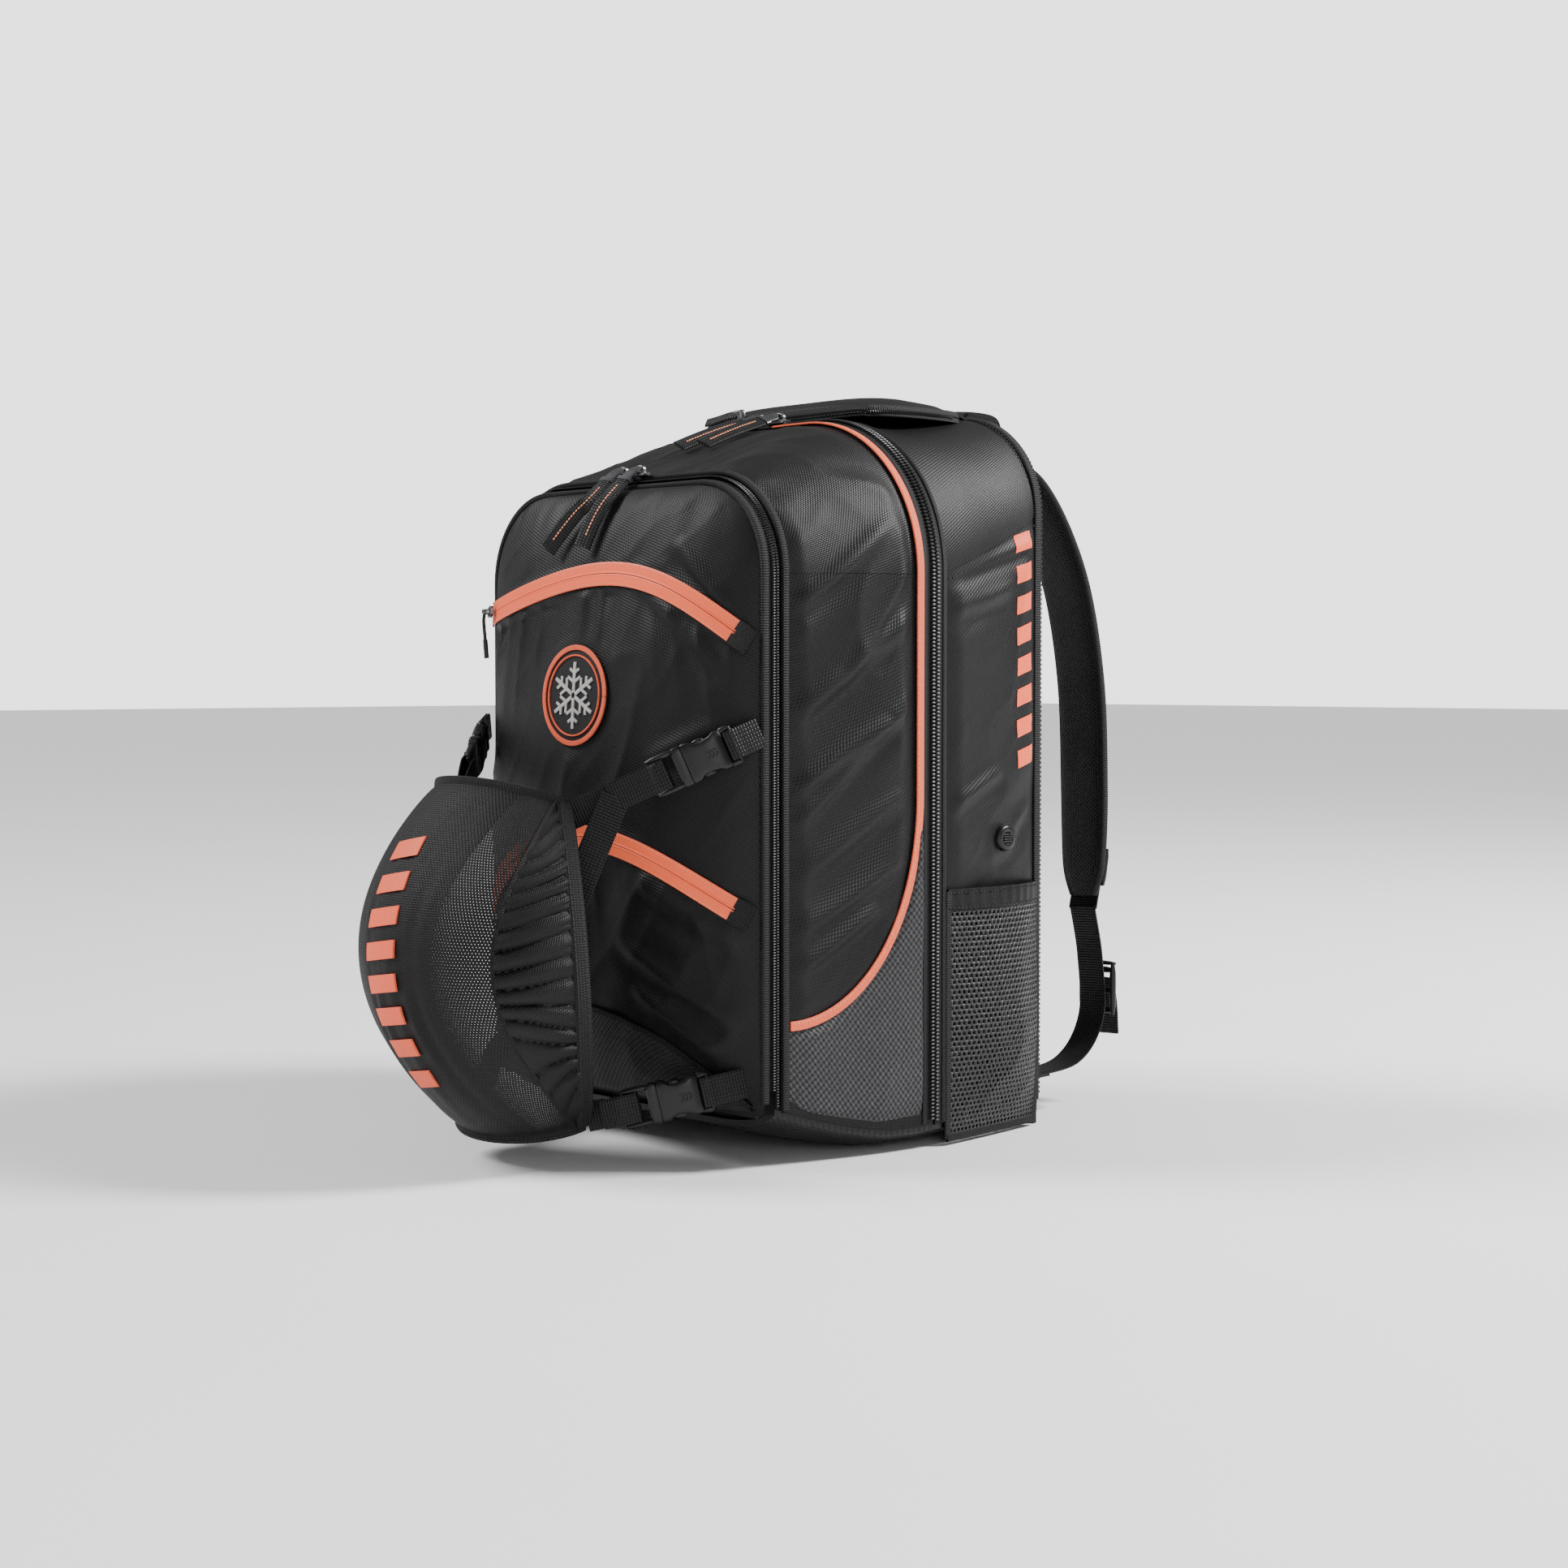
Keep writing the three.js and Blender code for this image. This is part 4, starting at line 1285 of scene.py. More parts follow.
@dataclass
class BackPanel:
    """The panel against the wearer: a stiff board with four blown-up pads of spacer mesh.

    Fields:
        board: The board's thickness.
        pads: For each pad, its middle and its half sizes in X and Z.
        thick: A pad's thickness before it is blown up.
    """

    board: float = 6.0
    pads: tuple[tuple[str, float, float, float, float], ...] = (
        ("back_pad_top", 0.0, 436.0, 108.0, 44.0),
        ("back_pad_left", -63.0, 264.0, 50.0, 112.0),
        ("back_pad_right", 63.0, 264.0, 50.0, 112.0),
        ("back_pad_low", 0.0, 84.0, 118.0, 52.0),
    )
    thick: float = 9.0

    def build(self) -> None:
        """Makes the board, its binding and its pads."""
        half, top, floor, radius = section(BACK)
        u, v = grid(70, 100)
        z = mix(float(floor) + 0.4, float(top) - 0.5, 1 - (1 - v) ** 1.5)
        x = (2 * u - 1) * reach_at(z, half - 2, top, radius)
        y = BACK + GAP + self.board - 2.5 * (1 - fade(u, 0.08) * fade(v, 0.05))
        form = slab(stack(x, y, z), stack(x, BACK + GAP, z))
        piece("back_board", form, PAD_CLOTH, Body.PACK, ["back_panel"])
        for name, x, z, wide, high in self.pads:
            self.pad(name, x, z, wide, high)

    def pad(self, name: str, x: float, z: float, wide: float, high: float) -> None:
        """Makes one pad: a rounded slab that is blown up, bound by a flat tape round its edge.

        Args:
            name: The pad's name.
            x: Its middle, across.
            z: Its middle, upwards.
            wide: Half its width.
            high: Half its height.
        """
        shape = outline(Profile.FLAT, 72) * 2
        sizes = np.array([0.0, 0.35, 0.6, 0.8, 0.92, 0.98, 1.0, 0.98, 0.92, 0.8, 0.6, 0.35, 0.0]) + 0.004
        heights = np.array([1, 1, 0.98, 0.92, 0.75, 0.5, 0.3, 0.12, 0.03, 0, 0, 0, 0]) * self.thick
        px = x + sizes[:, None] * shape[:, 0] * (wide - 4)
        pz = z + sizes[:, None] * shape[:, 1] * (high - 4)
        py = BACK + GAP + self.board - 2.0 + np.broadcast_to(heights[:, None], px.shape)
        form = rings(np.stack([px, py, pz], -1), np.stack([px, pz], -1) * MM)
        made = add(name, mesh_of(name, form))
        inflate(made, 2.5, 4.0)
        flat_cloth(made)
        made.data.materials.clear()
        made.data.materials.append(material_of(AIR))
        settle(made, "pack", Fold.NONE)
        edge = np.linspace(0, 2 * np.pi, 160, endpoint=False)
        power = 1 / Profile.FLAT.value
        c, s = np.cos(edge), np.sin(edge)
        rim_x = x + np.sign(c) * np.abs(c) ** power * wide
        rim_z = z + np.sign(s) * np.abs(s) ** power * high
        path = stack(rim_x, BACK + GAP + self.board + 0.3, rim_z)
        track = Track.looped(path, Y_AXIS)
        piece(f"{name}_binding", track.ribbon(7.0, 2.0, loop=True), BINDING, Body.PACK)
        LOG.info("%s: %d faces", name, len(made.data.polygons))


@dataclass
class Harness:
    """Shoulder straps with their lower webbing and ladder locks, and the haul handle.

    Fields:
        width: A strap's width.
        thick: A strap's thickness.
        strap: The strap's middle line: across, behind the panel, and height.
        web: The lower webbing's middle line.
        grip: The haul handle's middle line.
        band: The width and thickness of its webbing.
    """

    width: float = 62.0
    thick: float = 11.0
    band: tuple[float, float] = (25.0, 1.8)
    strap: tuple[tuple[float, float, float], ...] = (
        (72, 9, 492), (84, 46, 474), (98, 75, 410), (106, 88, 330), (110, 89, 240), (114, 84, 160),
    )
    web: tuple[tuple[float, float, float], ...] = (
        (114, 83, 152), (116, 90, 112), (118, 89, 66), (119, 60, 36), (120, 2, 30),
    )
    grip: tuple[tuple[float, float, float], ...] = (
        (-78, 11, 505), (-60, 24, 519), (0, 34, 526), (60, 24, 519), (78, 11, 505),
    )

    def line(self, points: Points, side: float, count: int) -> Array:
        """Returns one of the lines, on one side of the bag."""
        return smooth_curve([(side * x, PANEL_Y + y, z) for x, y, z in points], count)

    def build(self) -> None:
        """Makes both straps and the handle."""
        for name, side in SIDES:
            self.shoulder(name, side)
            self.lower(name, side)
        self.handle()

    def shoulder(self, name: str, side: int) -> None:
        """Makes one padded strap with bound edges, a sewn-down webbing and its stitches."""
        path = self.line(self.strap, side, 90)
        track = Track.wide(path, np.array([0.94, side * -0.34, 0.0]))
        t = np.linspace(-1, 1, 90)
        width = self.width * (1 - 0.3 * np.abs(t) ** 6) * (1 - 0.3 * np.clip((t - 0.86) / 0.14, 0, 1) ** 2)
        ripple = 1 + 0.05 * np.sin(np.linspace(0, 46, 90)) * (1 - t**4)
        pad = track.ribbon(width, self.thick * (1 - 0.45 * t**8) * ripple, Profile.PAD, 28)
        made = piece(f"strap_pad_{name}", pad, AIR, Body.PACK, [f"shoulder_strap_{name}"])
        edges = []
        for hand in (-1, 1):
            shifted = Track(path + track.across * (hand * (width / 2 - 2))[:, None], track.across, track.out)
            edges.append(shifted.ribbon(7.5, 6.2, Profile.PAD))
        piece(f"strap_binding_{name}", together(edges), BINDING, Body.PACK)
        outside = 1.0 if float((track.out[45] * (0, 1, 0)).sum()) > 0 else -1.0
        top = track.part(0.06, 0.98, 80).moved(up=outside * (self.thick / 2 + 0.3))
        web = together(
            [top.ribbon(*self.band), top.part(0.42, 0.5, 8).moved(up=outside * 1.4).ribbon(30.0, 1.6)]
        )
        piece(f"strap_keeper_{name}", web, WEBBING, Body.PACK)
        stitches = [seam(top.moved(aside=hand * 10.5, up=outside * 0.8)) for hand in (-1, 1)]
        piece(f"strap_stitches_{name}", together(stitches), THREAD, Body.PACK)

    def lower(self, name: str, side: int) -> None:
        """Makes the lower webbing with its tail, and the ladder lock that holds it."""
        track = Track.wide(self.line(self.web, side, 60), X_AXIS)
        tail = [
            (side * 117, PANEL_Y + 101, 96), (side * 117, PANEL_Y + 106, 78), (side * 118, PANEL_Y + 107, 52)
        ]
        hang = Track.wide(smooth_curve(tail, 30), X_AXIS)
        tab = track.part(0.9, 1.0, 8)
        join = [
            (side * 111.5, PANEL_Y + 91, 206), (side * 113, PANEL_Y + 90, 176),
            (side * 114, PANEL_Y + 83.5, 150)
        ]
        over = Track.wide(smooth_curve(join, 24), X_AXIS)
        forms = [
            track.ribbon(*self.band), hang.ribbon(*self.band), tab.ribbon(32.0, 4.0), over.ribbon(27.0, 2.2)
        ]
        piece(f"lower_webbing_{name}", together(forms), WEBBING, Body.PACK, [f"strap_webbing_{name}"])
        x, y, z = side * 117.0, PANEL_Y + 98.0, 88.0
        high, low = (PANEL_Y + 94.0, 196.0), (PANEL_Y + 89.0, 168.0)
        slide = [bar((side * 113.0 + a, *high), (side * 113.0 + a, *low), 4.0, 4.4) for a in (-16.0, 16.0)]
        for share in (0.04, 0.5, 0.96):
            at = mix(np.array(high), np.array(low), share)
            slide.append(bar((side * 113.0 - 17, *at), (side * 113.0 + 17, *at), 4.0, 4.0))
        piece(f"strap_slide_{name}", together(slide), PLASTIC, Body.PACK)
        rails = [bar((x + a, y, z - 20), (x + a, y, z + 20), 5.0, 5.4) for a in (-15.0, 15.0)]
        bars = [bar((x - 16, y, z + b), (x + 16, y, z + b), 5.0, 5.0) for b in (-17.0, -1.5, 14.5)]
        lip = bar((x - 16, y + 1.5, z + 19.5), (x + 16, y + 1.5, z + 19.5), 6.0, 3.5)
        piece(
            f"ladder_{name}", together([*rails, *bars, lip]), PLASTIC, f"ladder_lock_{name}",
            [f"ladder_lock_{name}"]
        )

    def handle(self) -> None:
        """Makes the haul handle: a webbing with a rolled grip."""
        track = Track.wide(self.line(self.grip, 1, 80), np.array([0.0, 0.75, 0.66]))
        grip = track.part(0.3, 0.7, 40).ribbon(20.0, 7.0, Profile.PAD, 18)
        ends = track.ribbon(24.0, 2.6)
        piece("haul_loop", together([ends, grip]), WEBBING, Body.HANDLE, ["haul_handle"])
        rows = [track.part(0.02, 0.98, 80).moved(aside=a, up=b) for a in (-8.0, 8.0) for b in (-1.8, 1.8)]
        piece("haul_stitches", together([seam(r) for r in rows]), THREAD, Body.HANDLE)


# ---- the front half


@dataclass
class FrontHalf:
    """The half that opens: side walls, ballistic corners, coral tapes, top, floor and divider.

    Fields:
        puff: How far a side wall stands out between its seams.
        fold: The height of the folds.
        tape: The coral tape's width.
        start: Where a coral tape begins, as a share of the way from the top's middle to the foot.
        noise: The folds' noise.
    """

    puff: float = 4.0
    fold: float = 4.2
    tape: float = 6.5
    start: float = 0.06
    noise: Noise = field(default_factory=lambda: Noise(7))

    def relief(self, side: int, y: Array, z: Array) -> Array:
        """Folds of a side wall: they climb from the pocket zip to the main zip, over eight long creases."""
        soft = self.noise.folds(y + 60 * side, z, 40, 36, 150) * self.fold
        lines = (
            (-122, 372, -30, 438, 6, 4.6), (-122, 300, -20, 372, 8, 4.4), (-122, 250, -44, 300, 6, 3.4),
            (-122, 190, -30, 250, 9, 4.4), (-120, 128, -50, 172, 6, 3.6), (-80, 330, -14, 420, 6, 3.2),
            (-122, 226, -20, 318, 6, 3.2), (-122, 154, -24, 206, 6, 2.8),
        )
        fine = self.noise.folds(y, z + 30 * side, 38, 14, 110) * 1.1
        return soft + fine + sum(crease(y, z, line[:4], line[4], line[5]) for line in lines)

    def proud(self, side: Array, s: Array, y: Array) -> Array:
        """How far the cloth stands out of the shell, from the middle of the top down both walls.

        The top's folds give way to the wall's over the shoulder, and both die down at the pocket
        seam and beside the coral tape.

        Args:
            side: -1 on the left and 1 on the right.
            s: The share of the way from the middle of the top to the foot.
            y: The depth.
        Returns:
            The distances.
        """
        at = shell(side * s, y)
        x, z = at[..., 0], at[..., 2]
        top = self.noise.folds(x, y, 74, 26, 90) * 3.2 + self.noise.folds(x, y, 60, 12, 60) * 1.0 + 1.6
        over, beside = np.clip((s - 0.34) / 0.16, 0, 1), np.clip((-TAPE - self.tape - 2.5 - y) / 16, 0, 1)
        over, beside = smooth(over), smooth(beside)
        share = (y + POCKET_SEAM - GAP) / (POCKET_SEAM - TAPE - 2 * GAP)
        return fade(share, 0.12) * beside * mix(top, self.relief(side, y, z) + self.puff, over)

    def build(self) -> None:
        """Makes every piece of the front half."""
        y0, y1 = -POCKET_SEAM + GAP, -TAPE - GAP
        for name, side in SIDES:
            u, v = grid(64, 140)
            y = mix(y0, y1, np.sin(u * np.pi / 2))
            edge = wall_at(piping_height(y) + GAP, y)
            s = mix(SHOULDER, edge, v)
            z = shell(s, y)[..., 2]
            proud = self.proud(side, s, y) * fade(0.5 + v / 2, 0.025)
            proud = proud + 0.5 * np.sin(z / 1.7 + 3 * self.noise(z / 9, y / 30)) * np.exp(-(y - y0) / 5)
            form = wall_slab(side, s, y, proud)
            piece(f"front_wall_{name}", form, PACK, Body.FRONT, [f"front_side_{name}"])
            u, v = grid(64, 50)
            y = mix(y0, y1, np.sin(u * np.pi / 2))
            s = mix(wall_at(piping_height(y) - GAP, y), 1.0, v)
            z = shell(s, y)[..., 2]
            proud = fade(u, 0.14) * fade(v, 0.12) * (2.6 + self.noise.folds(y, z, 64, 34, 90) * 1.6)
            form = wall_slab(side, s, y, proud)
            piece(f"front_corner_{name}", form, BALLISTIC, Body.FRONT, [f"corner_panel_{name}"])
            self.coral(name, side)
        self.crown()
        piece("front_base", base_form(-POCKET_SEAM - 7, -GAP / 2), BASE, Body.FRONT, ["front_floor"])
        self.divider()
        self.seams()
        self.zips()

    def crown(self) -> None:
        """Makes the top, with folds that run forward from the sliders."""
        u, v = grid(150, 56)
        s, y = mix(-0.5, 0.5, u), mix(-POCKET_SEAM + GAP, -TAPE - GAP, v)
        x = shell(s, y)[..., 0]
        rays = np.sin(x / 5.5 + 2.5 * self.noise(x / 22, y / 60)) * np.exp(-(y + 125) / 16) * 1.3
        lift = self.proud(np.sign(s), np.abs(s), y) + fade(v, 0.05) * fade(u, 0.05) * rays
        form = wall_slab(1, s, y, lift)
        piece("front_crown", form, PACK, Body.FRONT, ["front_top"])

    def coral_line(self, side: int) -> Track:
        """The middle line of one coral tape, from the top beside the slider to the pocket seam.

        It runs beside the main zip down to the piping's top, then along a quarter of an ellipse.

        Args:
            side: -1 on the left and 1 on the right.
        Returns:
            Its track, 1.6 mm proud of the shell.
        """
        start = -TAPE - GAP - self.tape / 2 - 0.4
        turn = float(wall_at(PIPING_TOP, start))
        down = np.linspace(self.start, turn, 220)
        angle = np.linspace(0, np.pi / 2, 100)[1:]
        y = mix(-POCKET_SEAM + 4, start, np.cos(angle))
        s = wall_at(PIPING_TOP - (PIPING_DROP - 4) * np.sin(angle), y)
        places = np.concatenate([down, s]), np.concatenate([np.full(220, start), y])
        return on_shell(side * places[0], places[1], 1.6)

    def coral(self, name: str, side: int) -> None:
        """Makes one coral tape, tapered at the top, and the stitches along both its edges."""
        track = self.coral_line(side)
        t = np.linspace(0, 1, len(track.path))
        width = self.tape * np.clip(0.25 + t / 0.09, 0, 1)
        piece(f"coral_tape_{name}", track.ribbon(width, 1.5), CORAL, Body.FRONT, [f"coral_piping_{name}"])
        stitches = seam(track.part(0.1, 1.0, 300).moved(aside=side * 1.9, up=0.6), 3.0, 0.6)
        piece(f"coral_tape_stitches_{name}", stitches, CREAM, Body.FRONT)

    def divider(self) -> None:
        """Makes the wall between the boot space and the front pocket."""
        half, top, floor, radius = (float(v) for v in section(-POCKET_SEAM + 1))
        inset = WALL + 1.5
        half, top, radius = half - inset, top - inset, radius - inset
        u, v = grid(60, 90)
        z = mix(floor + TUCK * np.abs(2 * u - 1) ** 8 + WALL + 0.3, top - 0.3, 1 - (1 - v) ** 1.5)
        x = (2 * u - 1) * reach_at(z, half, top, radius)
        wave = self.noise.folds(x, z, 80, 60, 200) * 0.6
        y = -POCKET_SEAM + 2.6 + wave
        form = slab(stack(x, y, z), stack(x, y - 1.4, z))
        piece("pocket_divider_cloth", form, LINING, Body.FRONT, ["pocket_divider"])

    def seams(self) -> None:
        """Binds and stitches the lower seam of both walls."""
        joins, stitches = [], []
        for _, side in SIDES:
            rim = on_shell(side * np.full(60, 0.996), np.linspace(-POCKET_SEAM, -1, 60), 0.2)
            joins.append(rim.ribbon(*FOOT_BAND))
            stitches.append(seam(rim.moved(aside=-side * 6.5, up=0.6)))
        piece("front_bindings", together(joins), BINDING, Body.FRONT)
        piece("front_stitches", together(stitches), THREAD, Body.FRONT)

    def zips(self) -> None:
        """Makes the front half of the main zip and the rear half of the pocket zip."""
        s = np.linspace(-1, 1, 360)
        tape = on_shell(s, -TAPE / 2 - 0.4, 0.5).ribbon(*MAIN_TAPE)
        roll = on_shell(s, -TAPE + 0.6, 0.9).ribbon(3.6, 2.2, Profile.ROUND)
        piece("main_zip_tape_front", together([tape, roll]), ZIP_TAPE, Body.FRONT, ["main_zip_front"])
        piece("main_zip_teeth_front", coil(on_shell(s, 0.0, 0.9), TEETH_FRONT), TEETH, Body.FRONT)
        tape = on_shell(s, -POCKET_SEAM - 4.2, 0.4).ribbon(*POCKET_TAPE)
        piece("pocket_zip_tape_rear", tape, ZIP_TAPE, Body.FRONT, ["pocket_zip_rear"])
        bound = on_shell(s, -POCKET_SEAM - 0.2, 1.4).ribbon(*POCKET_PIPE, Profile.PAD)
        piece("pocket_binding_rear", bound, BINDING, Body.FRONT)
        teeth = coil(on_shell(s, -POCKET_ZIP, 0.9), TEETH_REAR, POCKET_COIL)
        piece("pocket_zip_teeth_rear", teeth, TEETH, Body.FRONT)


# ---- the front pocket


@dataclass
class FrontPocket:
    """The domed pocket: its face, its half of the zip, two coral zips, an apron and a round patch.

    Fields:
        fold: The height of the face's folds.
        zip_width: The width of a coral zip's tape.
        zip_ends: Where a coral zip starts and ends, in X.
        patch: The patch's radius.
        patch_height: The height of its middle.
        noise: The folds' noise.
    """

    fold: float = 3.3
    zip_width: float = 17.0
    zip_ends: tuple[float, float] = (-134.0, 132.0)
    patch: float = 35.0
    patch_height: float = 315.0
    noise: Noise = field(default_factory=lambda: Noise(3))

    def puckers(self, x: Array, z: Array, line: Array, reach: float, height: float) -> Array:
        """Gathers that hang from a line and fan out below it, fading downwards."""
        drop = np.clip(line - z - 9, 0, None)
        spread = x * (1 - 0.0018 * drop)
        wave = 0.8 - 1.7 * np.abs(np.sin(spread / 6.4 + 2.2 * self.noise(spread / 30, 5.0))) ** 0.7
        wave = wave * (0.7 + 0.5 * self.noise(spread / 19, 2.0)) + 0.5 * np.sin(spread / 11.3 + 1.7)
        return height * wave * np.exp(-drop / reach) * (z < line - 9) * np.clip(drop / 5, 0, 1)

    def relief(self, x: Array, z: Array) -> Array:
        """Folds of the face. They are calm under the coral zips and the patch, and at the face's edge."""
        gathers = self.puckers(x, z, upper_arch(x), 36, 2.3) + self.puckers(x, z, lower_arch(x), 26, 1.4)
        at_top = 1.1 * np.sin(x / 5.2 + 3 * self.noise(x / 20, z / 70)) * np.exp(-(FACE_TOP - z) / 20)
        soft = self.noise.folds(x, z, 66, 40, 130) * self.fold
        soft = soft + self.noise.folds(x, z, 58, 15, 90) * 0.9
        corners = crease(x, z, (60, 396, 128, 330), 6, 3.2) + crease(x, z, (40, 150, 134, 96), 7, 3.8)
        corners += crease(x, z, (-60, 396, -128, 330), 6, 2.0) + crease(x, z, (-30, 140, -130, 92), 7, 2.2)
        corners += crease(x, z, (50, 118, 120, 74), 6, 3.2) + crease(x, z, (70, 270, 136, 300), 7, 2.6)
        corners += crease(x, z, (64, 190, 138, 150), 7, 3.0) + crease(x, z, (84, 420, 130, 372), 5, 2.6)
        away = np.hypot(x, z - self.patch_height) - self.patch
        calm = np.clip(away / 10, 0, 1)
        for line in (upper_arch(x), lower_arch(x)):
            calm = calm * np.clip((np.abs(z - line) - 7) / 6, 0, 1)
        edge = np.clip((1 - np.abs(x) / np.maximum(face_half(z), 1)) / 0.12, 0, 1)
        edge = edge * np.clip((FACE_TOP - z) / 14, 0, 1) * np.clip((z - FACE_FOOT) / 14, 0, 1)
        return (gathers + at_top + soft + corners) * calm * edge

    def face(self, x: Array, z: Array, proud: Array = 0.0) -> Array:
        """Returns points of the face: its edge's depth less the bulge and the folds."""
        depth = -FRONT - GAP - FACE_BULGE * face_swell(x, z) - self.relief(x, z)
        return stack(x, depth, z) + proud * self.normal(x, z)

    def normal(self, x: Array, z: Array) -> Array:
        """Returns the unbroken face's outward direction, from its slopes over 2 mm."""
        slope_x = FACE_BULGE * (face_swell(x + 1, z) - face_swell(x - 1, z)) / 2
        slope_z = FACE_BULGE * (face_swell(x, z + 1) - face_swell(x, z - 1)) / 2
        return unit(stack(-slope_x, -1.0, -slope_z))

    def track(self, x: Array, z: Array, proud: float) -> Track:
        """Returns the track over the face along places x and z."""
        x, z = np.broadcast_arrays(np.asarray(x, float), np.asarray(z, float))
        return Track.facing(self.face(x, z, proud), self.normal(x, z))

    def build(self) -> None:
        """Makes every piece of the pocket."""
        u, v = grid(150, 190)
        spread = 0.5 - 0.5 * np.cos(np.stack([u, v]) * np.pi)
        z = mix(FACE_FOOT, FACE_TOP, mix(spread[1], v, 0.4))
        x = (2 * mix(spread[0], u, 0.4) - 1) * face_half(z)
        outer = self.face(x, z)
        k = 1 - WALL / 145
        middle = (FACE_TOP + FACE_FOOT) / 2
        depth = np.minimum(outer[..., 1] + WALL, -FRONT - GAP)
        inner = stack(x * k, depth, middle + (z - middle) * k)
        piece("pocket_face_cloth", slab(outer, inner), PACK, Body.POCKET, ["pocket_face"])
        self.zip()
        self.coral_zip("upper", upper_arch)
        self.coral_zip("lower", lower_arch)
        self.apron()
        self.badge()

    def zip(self) -> None:
        """Makes the pocket's half of its zip, bound on its outer edge."""
        s = np.linspace(-0.985, 0.985, 340)
        tape = on_shell(s, -POCKET_ZIP - 3.4, 0.4).ribbon(*POCKET_TAPE)
        piece("pocket_zip_tape_front", tape, ZIP_TAPE, Body.POCKET, ["pocket_zip_front"])
        bound = on_shell(s * 1.0142, -FRONT - 0.2, 0.9).ribbon(*POCKET_PIPE, Profile.PAD)
        piece("pocket_binding_front", bound, BINDING, Body.POCKET)
        teeth = coil(on_shell(s, -POCKET_ZIP, 0.9), TEETH_FRONT, POCKET_COIL)
        piece("pocket_zip_teeth_front", teeth, TEETH, Body.POCKET)
        x = np.linspace(-139, 139, 120)
        low = Track.facing(stack(x, -FRONT - 1.2, FACE_FOOT + 1.5 + 0.0 * x), np.array([0.0, -1.0, -0.4]))
        piece("pocket_foot_binding", low.ribbon(7.0, 3.0, Profile.PAD), BINDING, Body.POCKET)

    def coral_zip(self, name: str, arch: Callable[[Array], Array]) -> None:
        """Makes one arched coral zip: two sealed tapes, the teeth between them, and black garages.

        Args:
            name: Which of the two it is.
            arch: Its height at x.
        """
        x = np.linspace(*self.zip_ends, 150)
        track = self.track(x, arch(x), 1.5)
        half = (self.zip_width - 1.0) / 4
        tapes = [track.moved(aside=a * (half + 0.25)).ribbon(half * 2, 1.5) for a in (-1, 1)]
        lips = [track.moved(aside=a * 0.9, up=0.6).ribbon(1.5, 1.1, Profile.ROUND, 8) for a in (-1, 1)]
        piece(f"coral_zip_tape_{name}", together(tapes + lips), SEALED, Body.POCKET, [f"coral_zip_{name}"])
        rows = [seam(track.moved(aside=a * 7.0, up=0.6), 2.6, 0.5) for a in (-1, 1)]
        piece(f"coral_zip_stitches_{name}", together(rows), CREAM, Body.POCKET)
        garages = []
        for start, end in ((self.zip_ends[1] - 1.0, 140.0), (-140.0, self.zip_ends[0] + 1.0)):
            x = np.linspace(start, end, 12)
            garages.append(self.track(x, arch(x), 1.9).ribbon(self.zip_width + 1, 1.3))
        piece(f"coral_zip_garages_{name}", together(garages), BINDING, Body.POCKET)

    def apron(self) -> None:
        """Makes the ballistic apron over the foot of the face, under a low arch."""
        u, v = grid(90, 24)
        x = (2 * u - 1) * 136
        z = mix(FACE_FOOT + 3, 98 - 56 * (x / 136) ** 2, v)
        z = np.maximum(z, FACE_FOOT + 3 + 2.0 * v)
        form = slab(self.face(x, z, 1.3), self.face(x, z, 0.2))
        piece("pocket_apron", form, APRON, Body.POCKET)
        line = self.track(x[:, -1], z[:, -1], 1.6)
        piece("pocket_apron_edge", line.ribbon(4.0, 1.4), BINDING, Body.POCKET)

    def badge(self) -> None:
        """Makes the round patch: a ground, a sewn rim and a snowflake of six arms."""
        def place(a: Array, b: Array, height: Array) -> Array:
            """Puts a place on the patch, and a height above it, in space."""
            return self.face(
                a, self.patch_height + b, 0.0
            ) + self.normal(a, self.patch_height + b) * height[..., None]

        profile = [
            (0.4, 1.5), (14, 1.5), (26, 1.5), (33.6, 1.4), (34.6, 0.9), (34.6, 0.1), (20, 0.1), (0.4, 0.1)
        ]
        piece("patch_ground", turned(profile, 72, place), PATCH, Body.POCKET, ["emblem_patch"])
        angle = np.linspace(0, 2 * np.pi, 120, endpoint=False)
        rims = []
        for radius, width in ((33.0, 3.6), (27.6, 1.2)):
            x, z = radius * np.cos(angle), self.patch_height + radius * np.sin(angle)
            rims.append(Track.looped(self.face(x, z, 1.9), self.normal(x, z)).ribbon(width, 1.3, loop=True))
        piece("patch_rim", together(rims), SATIN_CORAL, Body.POCKET)
        arms = []
        for turn in range(6):
            c, s = math.cos(math.radians(60 * turn + 30)), math.sin(math.radians(60 * turn + 30))
            lines = [((2.0, 0.0), (23.0, 0.0), 2.6)]
            for start, far in ((9.0, 7.5), (15.5, 5.5)):
                lines += [((start, 0.0), (start + far * 0.5, hand * far * 0.87), 2.0) for hand in (-1, 1)]
            for (a0, b0), (a1, b1), width in lines:
                a, b = np.linspace(a0, a1, 9), np.linspace(b0, b1, 9)
                arms.append(
                    self.track(a * c - b * s, self.patch_height + a * s + b * c, 1.9).ribbon(width, 1.1)
                )
        piece("patch_snowflake", together(arms), SATIN, Body.POCKET)


# ---- the goggle pocket and the sides


